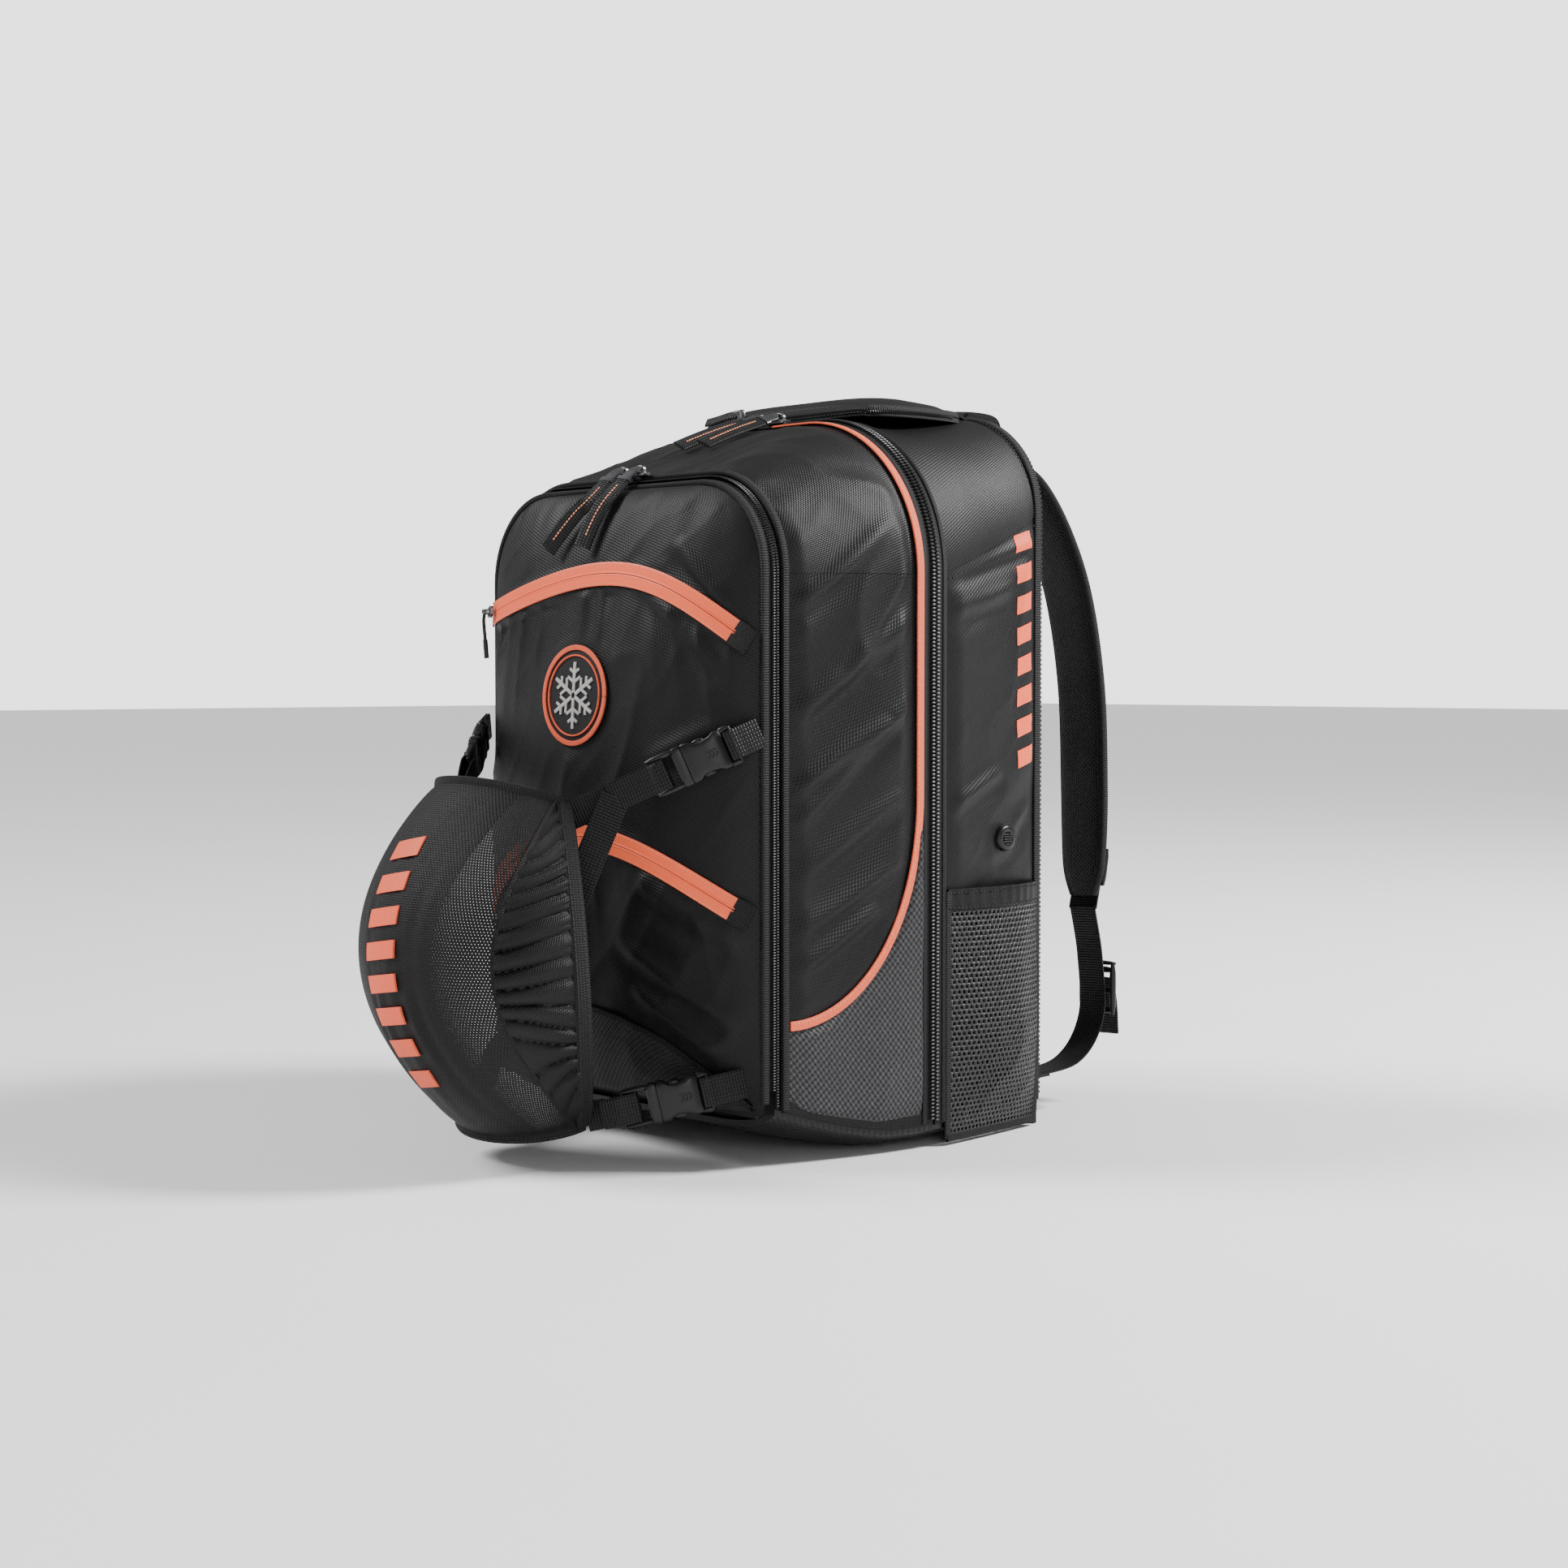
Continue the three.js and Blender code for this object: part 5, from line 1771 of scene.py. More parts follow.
@dataclass
class GogglePocket:
    """The domed lid on the rear half, with its zip round its front and sides.

    Fields:
        half: Half its width.
        front: Where it starts behind the main zip.
        back: Where its hinge seam lies.
        base: The height of its edge.
        rise: How far it is domed.
        noise: The folds' noise.
    """

    half: float = 96.0
    front: float = 16.0
    back: float = 108.0
    base: float = 519.0
    rise: float = 14.0
    noise: Noise = field(default_factory=lambda: Noise(15))

    def dome(self, u: Array, v: Array, grow: float = 1.0, sink: float = 0.0) -> Array:
        """Points of the dome.

        Its height is the rise, times 1 minus the fourth power of the share across, to the power of
        0.6, times the arch 4v(1 - v) to the power of 0.4.

        Args:
            u: The share across, from 0 to 1.
            v: The share from front to back.
            grow: The scale of its plan.
            sink: How far the points lie under the dome.
        Returns:
            The points.
        """
        across = 2 * u - 1
        rounded = 0.86 + 0.14 * np.sqrt(1 - (2 * v - 1) ** 2 * 0.999)
        swell = np.clip(1 - np.abs(across) ** 4, 0, 1) ** 0.6 * (4 * v * (1 - v) + 0.001) ** 0.4
        x = across * self.half * rounded * grow
        y = mix(self.front, self.back, 0.5 + (v - 0.5) * grow)
        z = self.base + np.maximum(0, self.rise * swell - sink)
        return stack(x, y, z)

    def build(self) -> None:
        """Makes the lid, its hinge, its binding, and the zip under its edge."""
        u, v = grid(110, 70)
        outer = self.dome(u, v)
        calm = fade(u, 0.1) * fade(v, 0.12)
        outer[..., 2] += calm * self.noise.folds(outer[..., 0], outer[..., 1], 8, 26, 110) * 1.1
        piece("lid_cloth", slab(outer, self.dome(u, v, 0.95, 3.5)), PACK, Body.LID, ["goggle_pocket_lid"])
        t = np.linspace(0, 1, 70)
        run = np.vstack([
            self.dome(0 * t, 1 - t), self.dome(t, 0 * t)[1:], self.dome(0 * t + 1, t)[1:],
        ])
        run = evenly(run + (0, 0, 0.6), 220)
        middle = np.array([0.0, (self.front + self.back) / 2, self.base])
        away = unit((run - middle) * (0.6, 1.0, 0.0)) + (0.0, 0.0, 0.6)
        edge = Track.facing(run, unit(away))
        piece("lid_binding", edge.moved(up=0.6).ribbon(6.0, 3.2, Profile.PAD), BINDING, Body.LID)
        lower = Track.facing(run * (1.012, 1.0, 1.0) + (0, 0, -2.2), unit(away))
        piece(
            "lid_zip_teeth", coil(lower.part(0.05, 0.95, 200).moved(up=1.4), TEETH_FRONT, 0.6), TEETH,
            Body.LID
        )
        wall = Track.facing(run * (1.02, 1.0, 1.0) + (0, 0, -4.6), unit(away))
        rows = [
            wall.moved(up=1.2).ribbon(4.6, 1.4),
            wall.moved(up=0.8).moved(aside=-2.0).ribbon(3.4, 2.4, Profile.PAD)
        ]
        piece("lid_zip_wall", together(rows), ZIP_TAPE, Body.PACK)
        x = np.linspace(-88, 88, 50)
        hinge = Track.facing(stack(x, self.back + 5.0, self.base + 0.2), np.array([0.0, 0.3, 1.0]))
        piece("lid_hinge_binding", hinge.ribbon(8.0, 1.8), BINDING, Body.PACK)
        stitched = seam(edge.part(0.02, 0.98, 200).moved(aside=4.6, up=0.6))
        piece("lid_stitches", stitched, THREAD, Body.LID)
        pull = Track.wide(
            smooth_curve([(-50, 11.5, 524.5), (-57, 9.5, 524.0), (-70, 9.0, 522.0), (-82, 9.0, 520.6)], 30),
            np.array([0.0, 0.5, 0.87]),
        )
        body = loft([(-6, 5, 2, 2), (-4.5, 8, 5, 2.6), (4.5, 9, 5, 2.6), (6, 6, 2, 2)], Profile.FLAT, 16)
        made = body.mapped(lambda p: p[:, [0, 2, 1]] * (1, -1, 1) + (-50.0, self.front - 0.5, self.base + 5))
        piece("lid_slider", made, METAL, Body.LID_SLIDER, ["goggle_slider"])
        piece("lid_pull", pull.ribbon(7.0, 1.8), WEBBING, Body.LID_SLIDER)


@dataclass
class SidePockets:
    """The open-knit bottle pockets low on the rear side walls, and the vents above them.

    Fields:
        front: The pocket's front edge behind the main zip.
        back: Its back edge.
        foot: The height of its foot.
        top: The height of its mouth.
        swell: How far it stands out.
        hem: The height of the elastic hem.
        row: The bars printed above the pocket.
        noise: The noise of its sags.
    """

    front: float = 13.0
    back: float = 119.0
    foot: float = 5.0
    top: float = 180.0
    swell: float = 19.0
    hem: float = 15.0
    row: BarRow = BarRow(9, (91.5, 262.0), 22.0, (19.0, 12.5), 5.0)
    noise: Noise = field(default_factory=lambda: Noise(33))

    def cloth(self, side: int, u: Array, v: Array, proud: Array = 0.0) -> Array:
        """Points of the pocket: the wall's, plus a swell like a sine across and upwards."""
        y, z = mix(self.front, self.back, u), mix(self.foot, self.top, v)
        low = np.sin(np.minimum(1, v * 2.2) * (np.pi / 2)) * mix(1.0, 0.62, v)
        out = self.swell * np.sin(np.clip(u, 0, 1) ** 1.5 * np.pi) ** 0.65 * low
        sag = fade(u, 0.1) * fade(v, 0.1) * self.noise.folds(y, z, 70, 26, 70) * 1.3
        hem = np.clip((z - (self.top - self.hem)) / 4, 0, 1) * np.sin(y / 1.6) * 0.35
        return shell(side * wall_at(z, y), y, GAP + 0.4 + out + sag + hem + proud)

    def build(self) -> None:
        """Makes both pockets with hem and edge binding, and both vents."""
        for name, side in SIDES:
            u, v = grid(80, 110)
            knit = slab(self.cloth(side, u, v * 0.93, 1.2), self.cloth(side, u, v * 0.93, 0.2))
            piece(f"bottle_pocket_{name}", knit, POUCH, Body.PACK, [f"side_pocket_{name}"])
            hem = slab(
                self.cloth(side, u, 0.915 + 0.085 * v, 1.9), self.cloth(side, u, 0.915 + 0.085 * v, 0.1)
            )
            piece(f"bottle_pocket_hem_{name}", hem, GATHERED, Body.PACK)
            t = np.linspace(0, 1, 80)
            ways = [self.cloth(side, t, np.full(80, 0.004), 1.2)]
            ways += [self.cloth(side, np.full(80, e), t * 0.99, 1.0) for e in (0.008, 0.992)]
            outside = np.array([float(side), 0.0, 0.0])
            bound = [Track.facing(w, outside).ribbon(6.0, 2.2, Profile.PAD) for w in ways]
            piece(f"bottle_pocket_binding_{name}", together(bound), BINDING, Body.PACK)
            rows = [Track.facing(self.cloth(side, t, np.full(80, e), 2.0), outside) for e in (0.925, 0.985)]
            piece(f"bottle_pocket_stitches_{name}", together([seam(r) for r in rows]), THREAD, Body.PACK)
            self.vent(name, side)
            self.bars(name, side)

    def vent(self, name: str, side: int) -> None:
        """Makes one vent: a moulded ring and the perforated screen inside it."""
        rear = RearHalf()
        y, z = rear.vent
        s = wall_at(np.array(z), np.array(y))
        at = shell(side * s, np.array(y), rear.proud(side, s, np.array(y)) - 0.6)

        def place(a: Array, b: Array, height: Array) -> Array:
            """Puts a place on the vent, and a height above it, in space."""
            return stack(at[0] + side * height, y + a, z + b)

        ring = [(3.6, 0.6), (4.0, 4.6), (5.4, 5.4), (8.0, 5.2), (9.3, 3.8), (9.6, 0.4), (6, 0.2), (3.6, 0.3)]
        piece(f"vent_rim_{name}", turned(ring, 40, place), PLASTIC, Body.PACK, [f"vent_ring_{name}"])
        wires = [bar((-4.2, a, 0), (4.2, a, 0), 0.8, 0.8) for a in (-2.6, -0.9, 0.9, 2.6)]
        wires += [bar((a, -4.2, 0), (a, 4.2, 0), 0.8, 0.8) for a in (-2.6, -0.9, 0.9, 2.6)]
        screen = together(wires).mapped(lambda p: place(p[:, 0], p[:, 1], p[:, 2] + 5.2))
        piece(f"vent_screen_{name}", screen, PLASTIC, Body.PACK)

    def bars(self, name: str, side: int) -> None:
        """Prints one row of plain slanted bars up the rear edge of the side wall."""
        rear = RearHalf()
        bars = []
        for y, z in self.row.places():
            s = wall_at(z, y)
            proud = rear.proud(side, s, y)
            bars.append(slab(shell(side * s, y, proud + 0.5), shell(side * s, y, proud - 0.4)))
        piece(f"side_bars_{name}", together(bars), PRINT, Body.PACK)


# ---- sliders and pulls


@dataclass
class Sliders:
    """The sliders of the main zip, the pocket zip and the coral zip, with their tabs and pulls.

    Fields:
        apart: Half the distance between the two sliders of a pair.
        tab: The length of a metal tab.
        pull: The width of a pull's webbing.
    """

    apart: float = 9.5
    tab: float = 19.0
    pull: float = 13.0

    def slider(self, length: float, width: float, height: float) -> Form:
        """Makes a slider along X: a low waisted body with flanges, and an arched bail over it."""
        a, w, h = length / 2, width, height
        body = loft(
            [(-a, w * 0.55, h * 0.3, h * 0.5), (-a + 1, w * 0.8, h * 0.7, h * 0.5), (0, w, h * 0.72, h * 0.5),
             (a - 2, w * 0.86, h * 0.7, h * 0.5), (a, w * 0.5, h * 0.4, h * 0.5)], Profile.FLAT, 20)
        arch = [
            (-a + 2.5, 0, h * 0.7), (-a + 3, 0, h + 2.4), (0, 0, h + 3.6), (a - 3.4, 0, h + 2.2),
            (a - 2.8, 0, h * 0.7)
        ]
        bail = Track.wide(smooth_curve(arch, 26), Y_AXIS).ribbon(3.2, 1.4)
        return together([body, bail])

    def pulls(self, name: str, line: Points, wide: Sequence[float], body: str, node: str) -> None:
        """Makes one metal tab and the webbing pull that hangs from it, stitched down its middle.

        Args:
            name: What the pieces are called after.
            line: The pull's middle line from the slider outwards.
            wide: The direction of its width.
            body: The body it rides on.
            node: The CAD node it stands for.
        """
        track = Track.wide(smooth_curve(line, 90), np.array(wide, float))
        far = lengths(track.path)[-1]
        share = self.tab / far
        tab = track.part(0.0, share, 26)
        t = np.linspace(0, 1, 26)
        plate = tab.ribbon(mix(5.0, 8.5, np.clip(t * 3, 0, 1)), 2.0)
        rim = tab.part(0.82, 1.0, 8).ribbon(12.0, 3.8)
        piece(f"{name}_tab", together([plate, rim]), METAL, body)
        web = track.part(share * 0.86, 1.0, 60)
        n = np.linspace(0, 1, 60)
        cloth = web.ribbon(self.pull * (1 - 0.25 * np.clip((0.12 - n) / 0.12, 0, 1)), 2.6, Profile.PAD, 16)
        piece(f"{name}_webbing", cloth, WEBBING, body, [node])
        rows = [seam(web.part(0.14, 0.9, 40).moved(up=b), 2.6, 1.3) for b in (1.75, -1.75)]
        piece(f"{name}_stitches", together(rows), CREAM, body)

    def build(self) -> None:
        """Makes both pairs, and the coral zip's slider."""
        top = float(section(0.0)[1]) + 1.4
        for name, side in SIDES:
            x = side * self.apart
            main = self.slider(15, 13, 5).mapped(lambda p: p + (x, 0.0, top))
            piece(f"main_slider_body_{name}", main, METAL, f"main_slider_{name}", [f"main_slider_{name}"])
            line = [(x - side * 1.0, -0.5, top + 7.6), (x, -7.4, float(section(-7.4)[1]) + 8.2)]
            line += [(
                x + side * (a - 3.4) * 0.05, -a, float(section(-a)[1]) + 7.4
            ) for a in (18.0, 34.0, 50.0, 64.0, 77.4)]
            self.pulls(f"main_pull_{name}", line, (0.86, 0, -0.5), f"main_pull_{name}", f"main_pull_{name}")
            seam_y = -POCKET_ZIP
            lift = float(section(-POCKET_SEAM - 2)[1]) + 2.4
            small = self.slider(13, 11, 4.5).mapped(lambda p: p + (x, seam_y, lift))
            piece(
                f"pocket_slider_body_{name}", small, METAL, f"pocket_slider_{name}", [f"pocket_slider_{name}"]
            )
            heights = (453.0, 444.0, 435.0, 426.0, 417.0)
            splay = -7.5 if side < 0 else -2.5
            deep = [
                -FRONT - GAP - FACE_BULGE * float(face_swell(np.array(x), np.array(z))) - 7.5 for z in heights
            ]
            line = [(x, seam_y - 0.5, lift + 7.4), (x, seam_y - 9, lift + 3.0)]
            line += [(x + splay * i, y, z) for i, (y, z) in enumerate(zip(deep, heights))]
            self.pulls(
                f"pocket_pull_{name}", line, (0.92, 0.38, 0.0), f"pocket_pull_{name}", f"pocket_pull_{name}"
            )
        self.coral()

    def coral(self) -> None:
        """Makes the coral zip's slider and its looped pull."""
        pocket = FrontPocket()
        x = -124.0
        at = pocket.track(np.array([x - 5, x, x + 5]), upper_arch(np.array([x - 5, x, x + 5])), 3.4)
        origin, along, out = at.path[1], unit(at.path[2] - at.path[0]), at.out[1]
        across = np.cross(out, along)
        form = self.slider(12, 9, 4).mapped(
            lambda p: origin + p[:, :1] * along + p[:, 1:2] * across + p[:, 2:] * out
        )
        piece("coral_slider_body", form, METAL, Body.CORAL_SLIDER, ["coral_slider"])
        line = [
            origin + out * 6, origin + out * 7 - (0, 0, 7), origin + out * 6 - (0, 0, 20),
            origin + out * 5 - (0, 0, 34)
        ]
        loop = Track.wide(smooth_curve(line, 40), along)
        cords = [loop.moved(aside=a).ribbon(2.0, 2.0, Profile.ROUND, 8) for a in (-1.7, 1.7)]
        grip = loop.part(0.6, 1.0, 20).ribbon(6.0, 3.2, Profile.PAD)
        piece("coral_pull", together([*cords, grip]), PLASTIC, Body.CORAL_SLIDER)


# ---- the helmet net


@dataclass
class HelmetNet:
    """The net that holds a helmet: knitted bands between two gathered side panels.

    Fields:
        corner: Half the width at the rims.
        bow: How much wider it is at its middle.
        low: The height of the lower rim.
        high: The height of the upper rim.
        back: How far in front of the main zip its side edges lie.
        lean: How much further forward the upper rim lies than the lower.
        rim: The depth of the net at its rims.
        belly: How much deeper it is at its middle.
        cuts: The cut width and length in millimetres and area in square metres of a gathered panel, a
            window and half the middle. A gathered panel is cut half as long again as its place, and
            the knit a tenth smaller. They are not used.
        row: The bars printed on the middle, in shares across and upwards.
        window: The width of a window, as a share of the way across.
        noise: The gathers' noise.
    """

    corner: float = 60.0
    bow: float = 36.0
    low: float = 30.0
    high: float = 245.0
    back: float = 233.0
    lean: float = 8.0
    rim: float = 38.0
    belly: float = 47.0
    cuts: tuple[tuple[float, float, float], ...] = ((60, 394, 0.0140), (41, 275, 0.0085), (51, 275, 0.0119))
    row: BarRow = BarRow(8, (0.42, 0.14), 0.092, (0.11, 0.05), 0.02)
    window: float = 0.15
    noise: Noise = field(default_factory=lambda: Noise(5))

    def seam_share(self, v: Array) -> Array:
        """Returns how far across the net the gathered panel's curved seam lies at v."""
        return 0.045 + 0.175 * np.sin(np.clip(v, 0.0, 1.0) * np.pi) ** 0.75

    def point(self, u: Array, v: Array, proud: Array = 0.0) -> Array:
        """Points of the net: half an ellipse from edge to edge, widest and deepest at mid height.

        Args:
            u: The share across, from 0 on the left to 1.
            v: The share from the lower rim to the upper.
            proud: How far outside it the points stand.
        Returns:
            The points.
        """
        turn = (u - 0.5) * np.pi
        middle = np.sin(v * np.pi) ** 0.8
        half = self.corner + self.bow * middle + proud
        deep = self.rim + self.belly * middle + proud
        back = self.back + self.lean * (2 * v - 1) + 22 * middle
        rise = mix(self.low - 10 * np.cos(turn), self.high + 14 * np.cos(turn), v)
        return stack(half * np.sin(turn), -back - deep * np.cos(turn), rise)

    def ruche(self, u: Array, v: Array) -> Array:
        """Heights of the gathers: waves up the panel, deepest at its bound edge."""
        share = np.minimum(u, 1 - u) / self.seam_share(v)
        run = v * 17 + 0.9 * self.noise(v * 6, share * 0.9) + 0.5 * share
        wave = np.abs(np.sin(run * np.pi)) ** 0.6 - 0.5
        between = (
            np.abs(np.sin((run * 2 + 0.3) * np.pi)) ** 0.8 - 0.5
        ) * 0.5 * np.clip(1 - 1.6 * share, 0, 1)
        swell = 0.8 + 0.5 * self.noise(v * 9 + 3, share * 0.8 + 5)
        depth = (1 - 0.55 * share) * np.clip((share - 0.06) / 0.16, 0, 1) * fade(v, 0.06)
        return (8.0 * (wave + between) * swell + 1.2) * depth

    def strip(self, u: Array, v: Array, out: Array, thick: float) -> Form:
        """Returns a closed sheet of the net over shares u and v."""
        return slab(self.point(u, v, out), self.point(u, v, out - thick))

    def build(self) -> None:
        """Makes the knitted bands, the gathered panels, the rims, the bound edges and the bars."""
        a, v = grid(60, 110)
        calm = fade(v, 0.08)
        for name, sign in (("left", 0), ("right", 1)):
            def across(share: Array) -> Array:
                """Returns a share across the net, counted from this side."""
                return 1 - share if sign else share

            edge = self.seam_share(v)
            u, v2 = grid(44, 230)
            wide = self.seam_share(v2)
            form = self.strip(across(u * wide), v2, self.ruche(u * wide, v2), 1.4)
            piece(f"net_gathers_{name}", form, GATHERED, Body.POCKET, [f"net_gather_{name}"], Fold.NET)
            tension = calm * self.noise.folds(a * 60, v * 210, 86, 24, 140) * 0.8
            window = mix(edge, edge + self.window, a)
            form = self.strip(across(window), v, tension * fade(a, 0.2), 0.8)
            piece(f"net_window_{name}", form, NET, Body.POCKET, (), Fold.NET)
            line = Track.facing(self.point(across(edge[0]), v[0], 0.4), self.outwards(across(edge[0]), v[0]))
            sewn = together([line.ribbon(3.0, 1.6), seam(line.moved(aside=2.6, up=0.1))])
            piece(f"net_seam_{name}", sewn, BINDING, Body.POCKET, (), Fold.NET)
            low = self.seam_share(v) + self.window
            form = self.strip(
                across(mix(low, 0.5, a)), v, calm * fade(a * 0.5, 0.2) * self.noise(a * 5, v * 6) * 1.2, 0.8
            )
            nodes = ["helmet_net"] if sign else []
            piece(f"net_knit_{name}", form, DENSE, Body.POCKET, nodes, Fold.NET)
        self.rims()
        self.bars()

    def outwards(self, u: Array, v: Array) -> Array:
        """Returns the direction out of the net."""
        return unit(self.point(u, v, 1.0) - self.point(u, v, 0.0))

    def rims(self) -> None:
        """Binds the upper and lower rims and the two side edges, with stitches along them."""
        t = np.linspace(0.0, 1.0, 120)
        hems, rows = [], []
        for v in (0.004, 0.996):
            line = Track.facing(self.point(t, 0 * t + v, 0.3), self.outwards(t, 0 * t + v))
            hems.append(line.ribbon(9.0, 2.6, Profile.PAD))
            rows.append(seam(line.moved(aside=2.6, up=1.0)))
        piece("net_rim_bindings", together(hems), BINDING, Body.POCKET, (), Fold.NET)
        sides = []
        for u in (0.004, 0.996):
            path = self.point(0 * t + u, t, 0.6)
            track = Track.facing(path, self.outwards(0 * t + 0.06 + 0.88 * (u > 0.5), t))
            sides.append(track.ribbon(12.5, 4.0, Profile.PAD))
            rows += [seam(track.moved(aside=a, up=1.5)) for a in (-3.6, 3.6)]
        piece("net_side_bindings", together(sides), BINDING, Body.POCKET, (), Fold.NET)
        piece("net_stitches", together(rows), THREAD, Body.POCKET, (), Fold.NET)

    def bars(self) -> None:
        """Prints one row of plain slanted bars up the middle of the net."""
        bars = []
        for u, v in self.row.places():
            bars.append(self.strip(u, v, 1.7 + 0 * u, 1.6))
        piece("net_bars", together(bars), PRINT, Body.POCKET, (), Fold.NET)


# ---- the net's straps and buckles


@dataclass
class Buckle:
    """A side-release buckle drawn with its length along X, its mouth at X = 0.

    Fields:
        width: Its width.
        thick: Its thickness.
        sleeve: The length of the sleeve.
        prong: How far the prongs reach into it.
        body: The length of the plug outside it.
    """

    width: float = 28.0
    thick: float = 10.0
    sleeve: float = 28.0
    prong: float = 19.0
    body: float = 25.0

    def female(self) -> Form:
        """The sleeve: a waisted shell, open at its mouth, with a raised arrow and a bar for the web.

        Its rings run from the closed end to the mouth outside, and back inside to the bore's end.
        """
        n, w, t = self.sleeve, self.width, self.thick
        outer = [(n, w * 0.8, 4.0), (n - 0.8, w * 0.93, 6.5), (n - 5, w * 0.95, 8.6),
                 (n - 8, w * 0.84, t), (n * 0.5, w * 0.76, t),
                 (n * 0.3, w * 0.78, t), (
                     n * 0.18, w * 0.96, t * 0.98
                 ), (1.0, w, t * 0.94), (0.0, w * 0.97, t * 0.86)]
        inner = [
            (0.2, w - 3.4, t - 4.0), (2.0, w - 4.8, t - 4.8), (n * 0.3, w * 0.76 - 3.5, t - 4.8),
            (n * 0.62, w * 0.7, t - 5.0)
        ]
        shell_form = loft([(x, a, b, 0.0) for x, a, b in outer + inner], Profile.FLAT, 28)
        grips = []
        for hand in (-1, 1):
            for k in range(3):
                x = n * 0.52 + 2.6 * k
                grips.append(bar((x, hand * 3.0, t / 2 - 0.1), (x + 2.4, hand * 0.2, t / 2 - 0.1), 1.2, 1.0))
        posts = [bar((n - 1.5, h * (w * 0.42), 0), (n + 6.5, h * (w * 0.42), 0), 4.4, 4.8) for h in (-1, 1)]
        end = bar((n + 6.0, -w * 0.44, 0), (n + 6.0, w * 0.44, 0), 4.4, 4.8)
        return together([shell_form, *grips, *posts, end])

    def male(self) -> Form:
        """The plug: a block with two sprung prongs, a tongue, and a ladder of two bars."""
        w, b = self.width, self.body
        block = loft(
            [(-7.5, w * 0.8, 4.0, 0), (-6.5, w * 0.97, 7.4, 0), (-1.6, w, 8.6, 0), (-0.4, w * 0.94, 7.6, 0)],
            Profile.FLAT, 24
        )
        parts = [block]
        for hand in (-1, 1):
            prong = [(-1, 9.6, 0), (5, 9.2, 0), (10, 10.2, 0), (15, 9.4, 0), (self.prong, 7.4, 0)]
            path = smooth_curve([(x, hand * y, z) for x, y, z in prong], 26)
            size = np.interp(np.linspace(0, 1, 26), (0, 0.25, 0.5, 0.75, 1), (3.4, 3.2, 4.6, 4.0, 2.0))
            parts.append(Track.facing(path, Z_AXIS).ribbon(size, 4.2, Profile.PAD))
            lobe = loft([
                (7.0, 1.5, 2.0, 0), (8.5, 3.6, 5.4, 0), (11.5, 4.4, 6.2, 0), (14.5, 3.8, 5.6, 0),
                (16.4, 1.5, 2.0, 0)
            ], Profile.PAD)
            parts.append(lobe.mapped(lambda p, h=hand: p + (0.0, h * 10.9, 0.0)))
            parts.append(bar((-6.0, hand * 11.6, 0), (-b, hand * 11.6, 0), 4.4, 6.0))
        parts.append(bar((-1, 0, 0), (self.prong - 2, 0, 0), 4.4, 3.6))
        parts.append(bar((-15.0, -11.5, 1.2), (-15.0, 11.5, 1.2), 4.6, 3.6))
        parts.append(bar((-b + 1.0, -12.5, -0.6), (-b + 1.0, 12.5, -0.6), 4.8, 4.4))
        return together(parts)


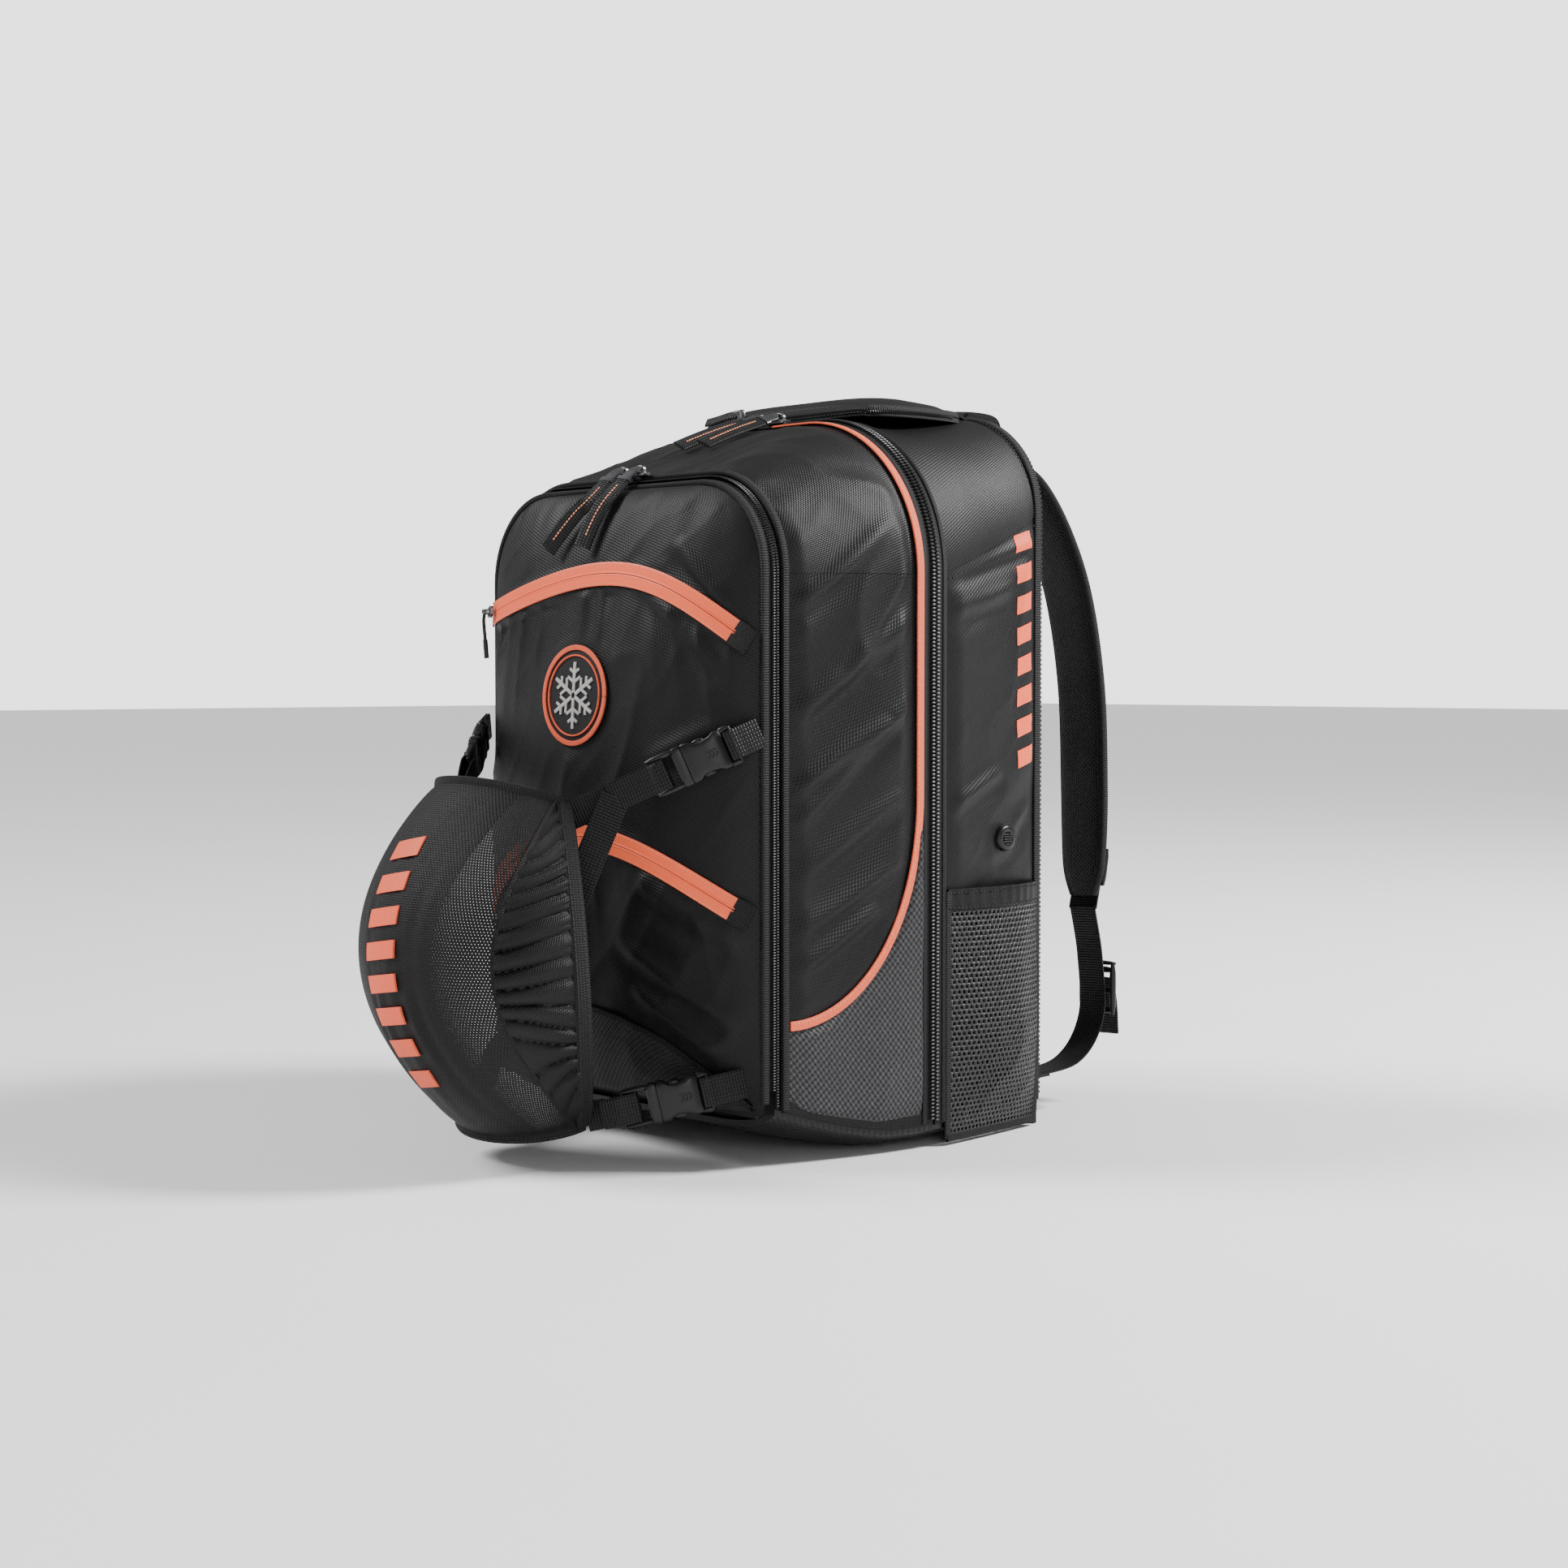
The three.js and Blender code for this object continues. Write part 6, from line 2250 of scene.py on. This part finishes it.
@dataclass
class NetStraps:
    """The four straps that draw the net to the pocket's edge.

    Fields:
        web: The webbing's width.
        thick: The webbing's thickness.
        routes: For each level, the net's corner, the anchor, and where the buckle's mouth lies.
    """

    web: float = 20.0
    thick: float = 1.6
    routes: tuple[tuple[str, tuple[float, float, float], tuple[float, float, float], float], ...] = (
        ("upper", (68.0, -236.0, 239.0), (151.0, -147.0, 292.0), 79.0),
        ("lower", (66.0, -220.0, 36.0), (133.0, -148.0, 58.0), 44.0),
    )

    def build(self) -> None:
        """Makes each strap with its buckle."""
        for side_name, side in SIDES:
            for level, start, end, mouth in self.routes:
                self.strap(f"{level}_{side_name}", side, np.array(start), np.array(end), mouth)

    def strap(self, tag: str, side: int, start: Array, end: Array, mouth: float) -> None:
        """Makes one strap: the net's webbing, the plug, the sleeve and the short webbing to the pocket.

        Args:
            tag: Its level and side.
            side: -1 on the left and 1 on the right.
            start: The net's corner, on the right.
            end: Its anchor at the pocket's edge, on the right.
            mouth: How far along it the sleeve's mouth lies.
        """
        flip = np.array([side, 1, 1])
        start, end = start * flip, end * flip
        along = unit(end - start)
        out = unit(np.cross(np.array([0.0, 0.0, -float(side)]), along))
        across = np.cross(out, along)
        far = float(np.linalg.norm(end - start))
        buckle = Buckle()

        def at(x: float, up: float, aside: float = 0.0) -> Array:
            """Returns a point beside the strap: how far along it, above it and aside."""
            return start + along * x + out * up + across * aside

        def bands(lines: Sequence[Sequence[Array]], count: int) -> Form:
            """Returns webbings carried along several lines."""
            tracks = [Track.wide(smooth_curve(line, count), across) for line in lines]
            return together([t.ribbon(self.web, self.thick, sides=14) for t in tracks])

        def set_in(form: Form) -> Form:
            """Turns a buckle's form into the strap's line, with its mouth in place."""
            return form.mapped(
                lambda p: at(mouth, 0) + p[:, :1] * along + p[:, 1:2] * across + p[:, 2:] * out
            )

        piece(
            f"buckle_female_{tag}", set_in(buckle.female()), PLASTIC, Body.POCKET, [f"buckle_sleeve_{tag}"],
            Fold.STRAP
        )
        plug = f"buckle_plug_{tag}"
        piece(f"buckle_male_{tag}", set_in(buckle.male()), PLASTIC, plug, [plug], Fold.STRAP)
        ladder = mouth - buckle.body
        fixed = [[at(-6, -3.5), at(8, -3.4), at(ladder - 22, -3.3), at(ladder - 12, -3.2)]]
        slack = 30.0 if tag.startswith("upper") else 14.0
        moving = [
            [
                at(ladder - slack / 2, -3.2), at(ladder - slack / 4, -3.2), at(ladder + 1, -3.6),
                at(ladder + 9, 0.4), at(ladder + 12, 2.2)
            ],
            [
                at(ladder + 11, 4.2), at(ladder + 6, 3.6), at(ladder - 1, 4.4), at(ladder - slack / 2, 3.4),
                at(ladder - slack, 1.8)
            ],
        ]
        if tag.startswith("upper"):
            tail = at(ladder - 26, 2.2)
            low = np.array([side * 69.0, -243.0, 176.0])
            fixed.append([tail, mix(tail, low, 0.3), mix(tail, low, 0.72) + out * 1.0, low])
        for name, lines, body, nodes in (
            ("net_web", fixed, Body.POCKET, [f"net_webbing_{tag}"]), ("plug_web", moving, plug, []),
        ):
            piece(f"{name}_{tag}", bands(lines, 60), WEBBING, body, nodes, Fold.STRAP)
        bar_at = mouth + buckle.sleeve + 6.0
        reach, sink = (-1.0, -2.0) if tag.startswith("upper") else (9.0, -4.0)
        lines = [
            [
                at(bar_at - 6, -3.0), at(bar_at - 1, -3.4), at(bar_at + 4, -1.6), at(far - 10, 0.0),
                at(far + reach, sink)
            ],
            [
                at(bar_at - 5, 3.2), at(bar_at, 3.8), at(bar_at + 5, 2.6), at(far - 10, 1.8),
                at(far + reach, sink + 1.8)
            ],
        ]
        piece(f"anchor_web_{tag}", bands(lines, 40), WEBBING, Body.POCKET, (), Fold.STRAP)


# ---- the studio


@dataclass
class Studio:
    """A pale floor, soft lamps and the camera.

    Fields:
        camera: The camera's place, in metres.
        azimuth: The direction it looks in, in degrees left of +Y.
        dip: How far it looks below the horizon, in degrees.
        lens: Its focal length in millimetres.
        sky: How bright the sky that lights the bag is.
        backdrop: How bright the sky that the camera sees is.
        lamps: For each lamp, its name, place, size, power and kind.
    """

    camera: Vectorlike = (1.3669, -1.2129, 0.330)
    azimuth: float = 47.0
    dip: float = 2.51
    lens: float = 57.76
    sky: float = 0.3
    backdrop: float = 2.6
    lamps: tuple[tuple[str, Vectorlike, float, float, str], ...] = (
        ("key", (-2.2, -1.9, 3.0), 0.4, 3.9, "SUN"),
        ("side", (1.7, 2.0, 2.6), 0.8, 250.0, "AREA"),
        ("fill", (2.8, -1.8, 0.9), 1.2, 22.0, "AREA"),
    )

    def build(self) -> None:
        """Makes the camera, the floor, the sky and the lamps."""
        scene = bpy.context.scene
        data = bpy.data.cameras.new("camera")
        data.lens, data.sensor_width, data.clip_end = self.lens, 36.0, 100.0
        camera = add("camera", data)
        camera.location = self.camera
        camera.rotation_euler = (math.radians(90 - self.dip), 0.0, math.radians(self.azimuth))
        scene.camera = camera
        mesh = bpy.data.meshes.new("floor")
        mesh.from_pydata([(-20, -20, 0), (20, -20, 0), (20, 20, 0), (-20, 20, 0)], [], [(0, 1, 2, 3)])
        floor = add("floor", mesh)
        wired = Wiring("floor paint", 0.6)
        wired.colour(wired.blend(wired.noise(3.0), (0.86, 0.86, 0.87), (0.9, 0.9, 0.9)))
        mesh.materials.append(wired.material)
        world = bpy.data.worlds.new("sky")
        scene.world = world
        world.use_nodes = True
        tree = world.node_tree
        sky, out = tree.nodes["Background"], tree.nodes["World Output"]
        backdrop = tree.nodes.new("ShaderNodeBackground")
        for light, strength in ((sky, self.sky), (backdrop, self.backdrop)):
            light.inputs[0].default_value, light.inputs[1].default_value = (1.0, 1.0, 1.0, 1.0), strength
        seen, choice = tree.nodes.new("ShaderNodeLightPath"), tree.nodes.new("ShaderNodeMixShader")
        tree.links.new(seen.outputs["Is Camera Ray"], choice.inputs[0])
        tree.links.new(sky.outputs[0], choice.inputs[1])
        tree.links.new(backdrop.outputs[0], choice.inputs[2])
        tree.links.new(choice.outputs[0], out.inputs[0])
        for lamp in self.lamps:
            self.lamp(*lamp)

    def lamp(self, name: str, place: Vectorlike, size: float, power: float, kind: str) -> None:
        """Hangs a soft lamp that points at the bag's middle.

        Args:
            name: Its name.
            place: Where it hangs, in metres.
            size: The length of a square lamp's side, or a sun's angle in radians.
            power: Its power in watts, or a sun's in watts for each square metre.
            kind: AREA for a square lamp, or SUN.
        """
        data = bpy.data.lights.new(name, kind)
        data.energy = power
        if kind == "SUN":
            data.angle = size
        else:
            data.size = size
        lamp = add(name, data)
        lamp.location = place
        aim = Vector((0.0, 0.0, 0.28)) - Vector(place)
        lamp.rotation_euler = aim.to_track_quat("-Z", "Y").to_euler()


def main() -> None:
    """Builds the studio and every part of the bag."""
    logging.basicConfig(level=logging.INFO, format="%(message)s")
    Studio().build()
    parts = (
        RearHalf(), BackPanel(), Harness(), FrontHalf(), FrontPocket(), GogglePocket(), SidePockets(),
        Sliders(), HelmetNet(), NetStraps(),
    )
    for part in parts:
        part.build()
        LOG.info("built %s", type(part).__name__)
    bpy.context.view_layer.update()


if __name__ == "__main__":
    main()
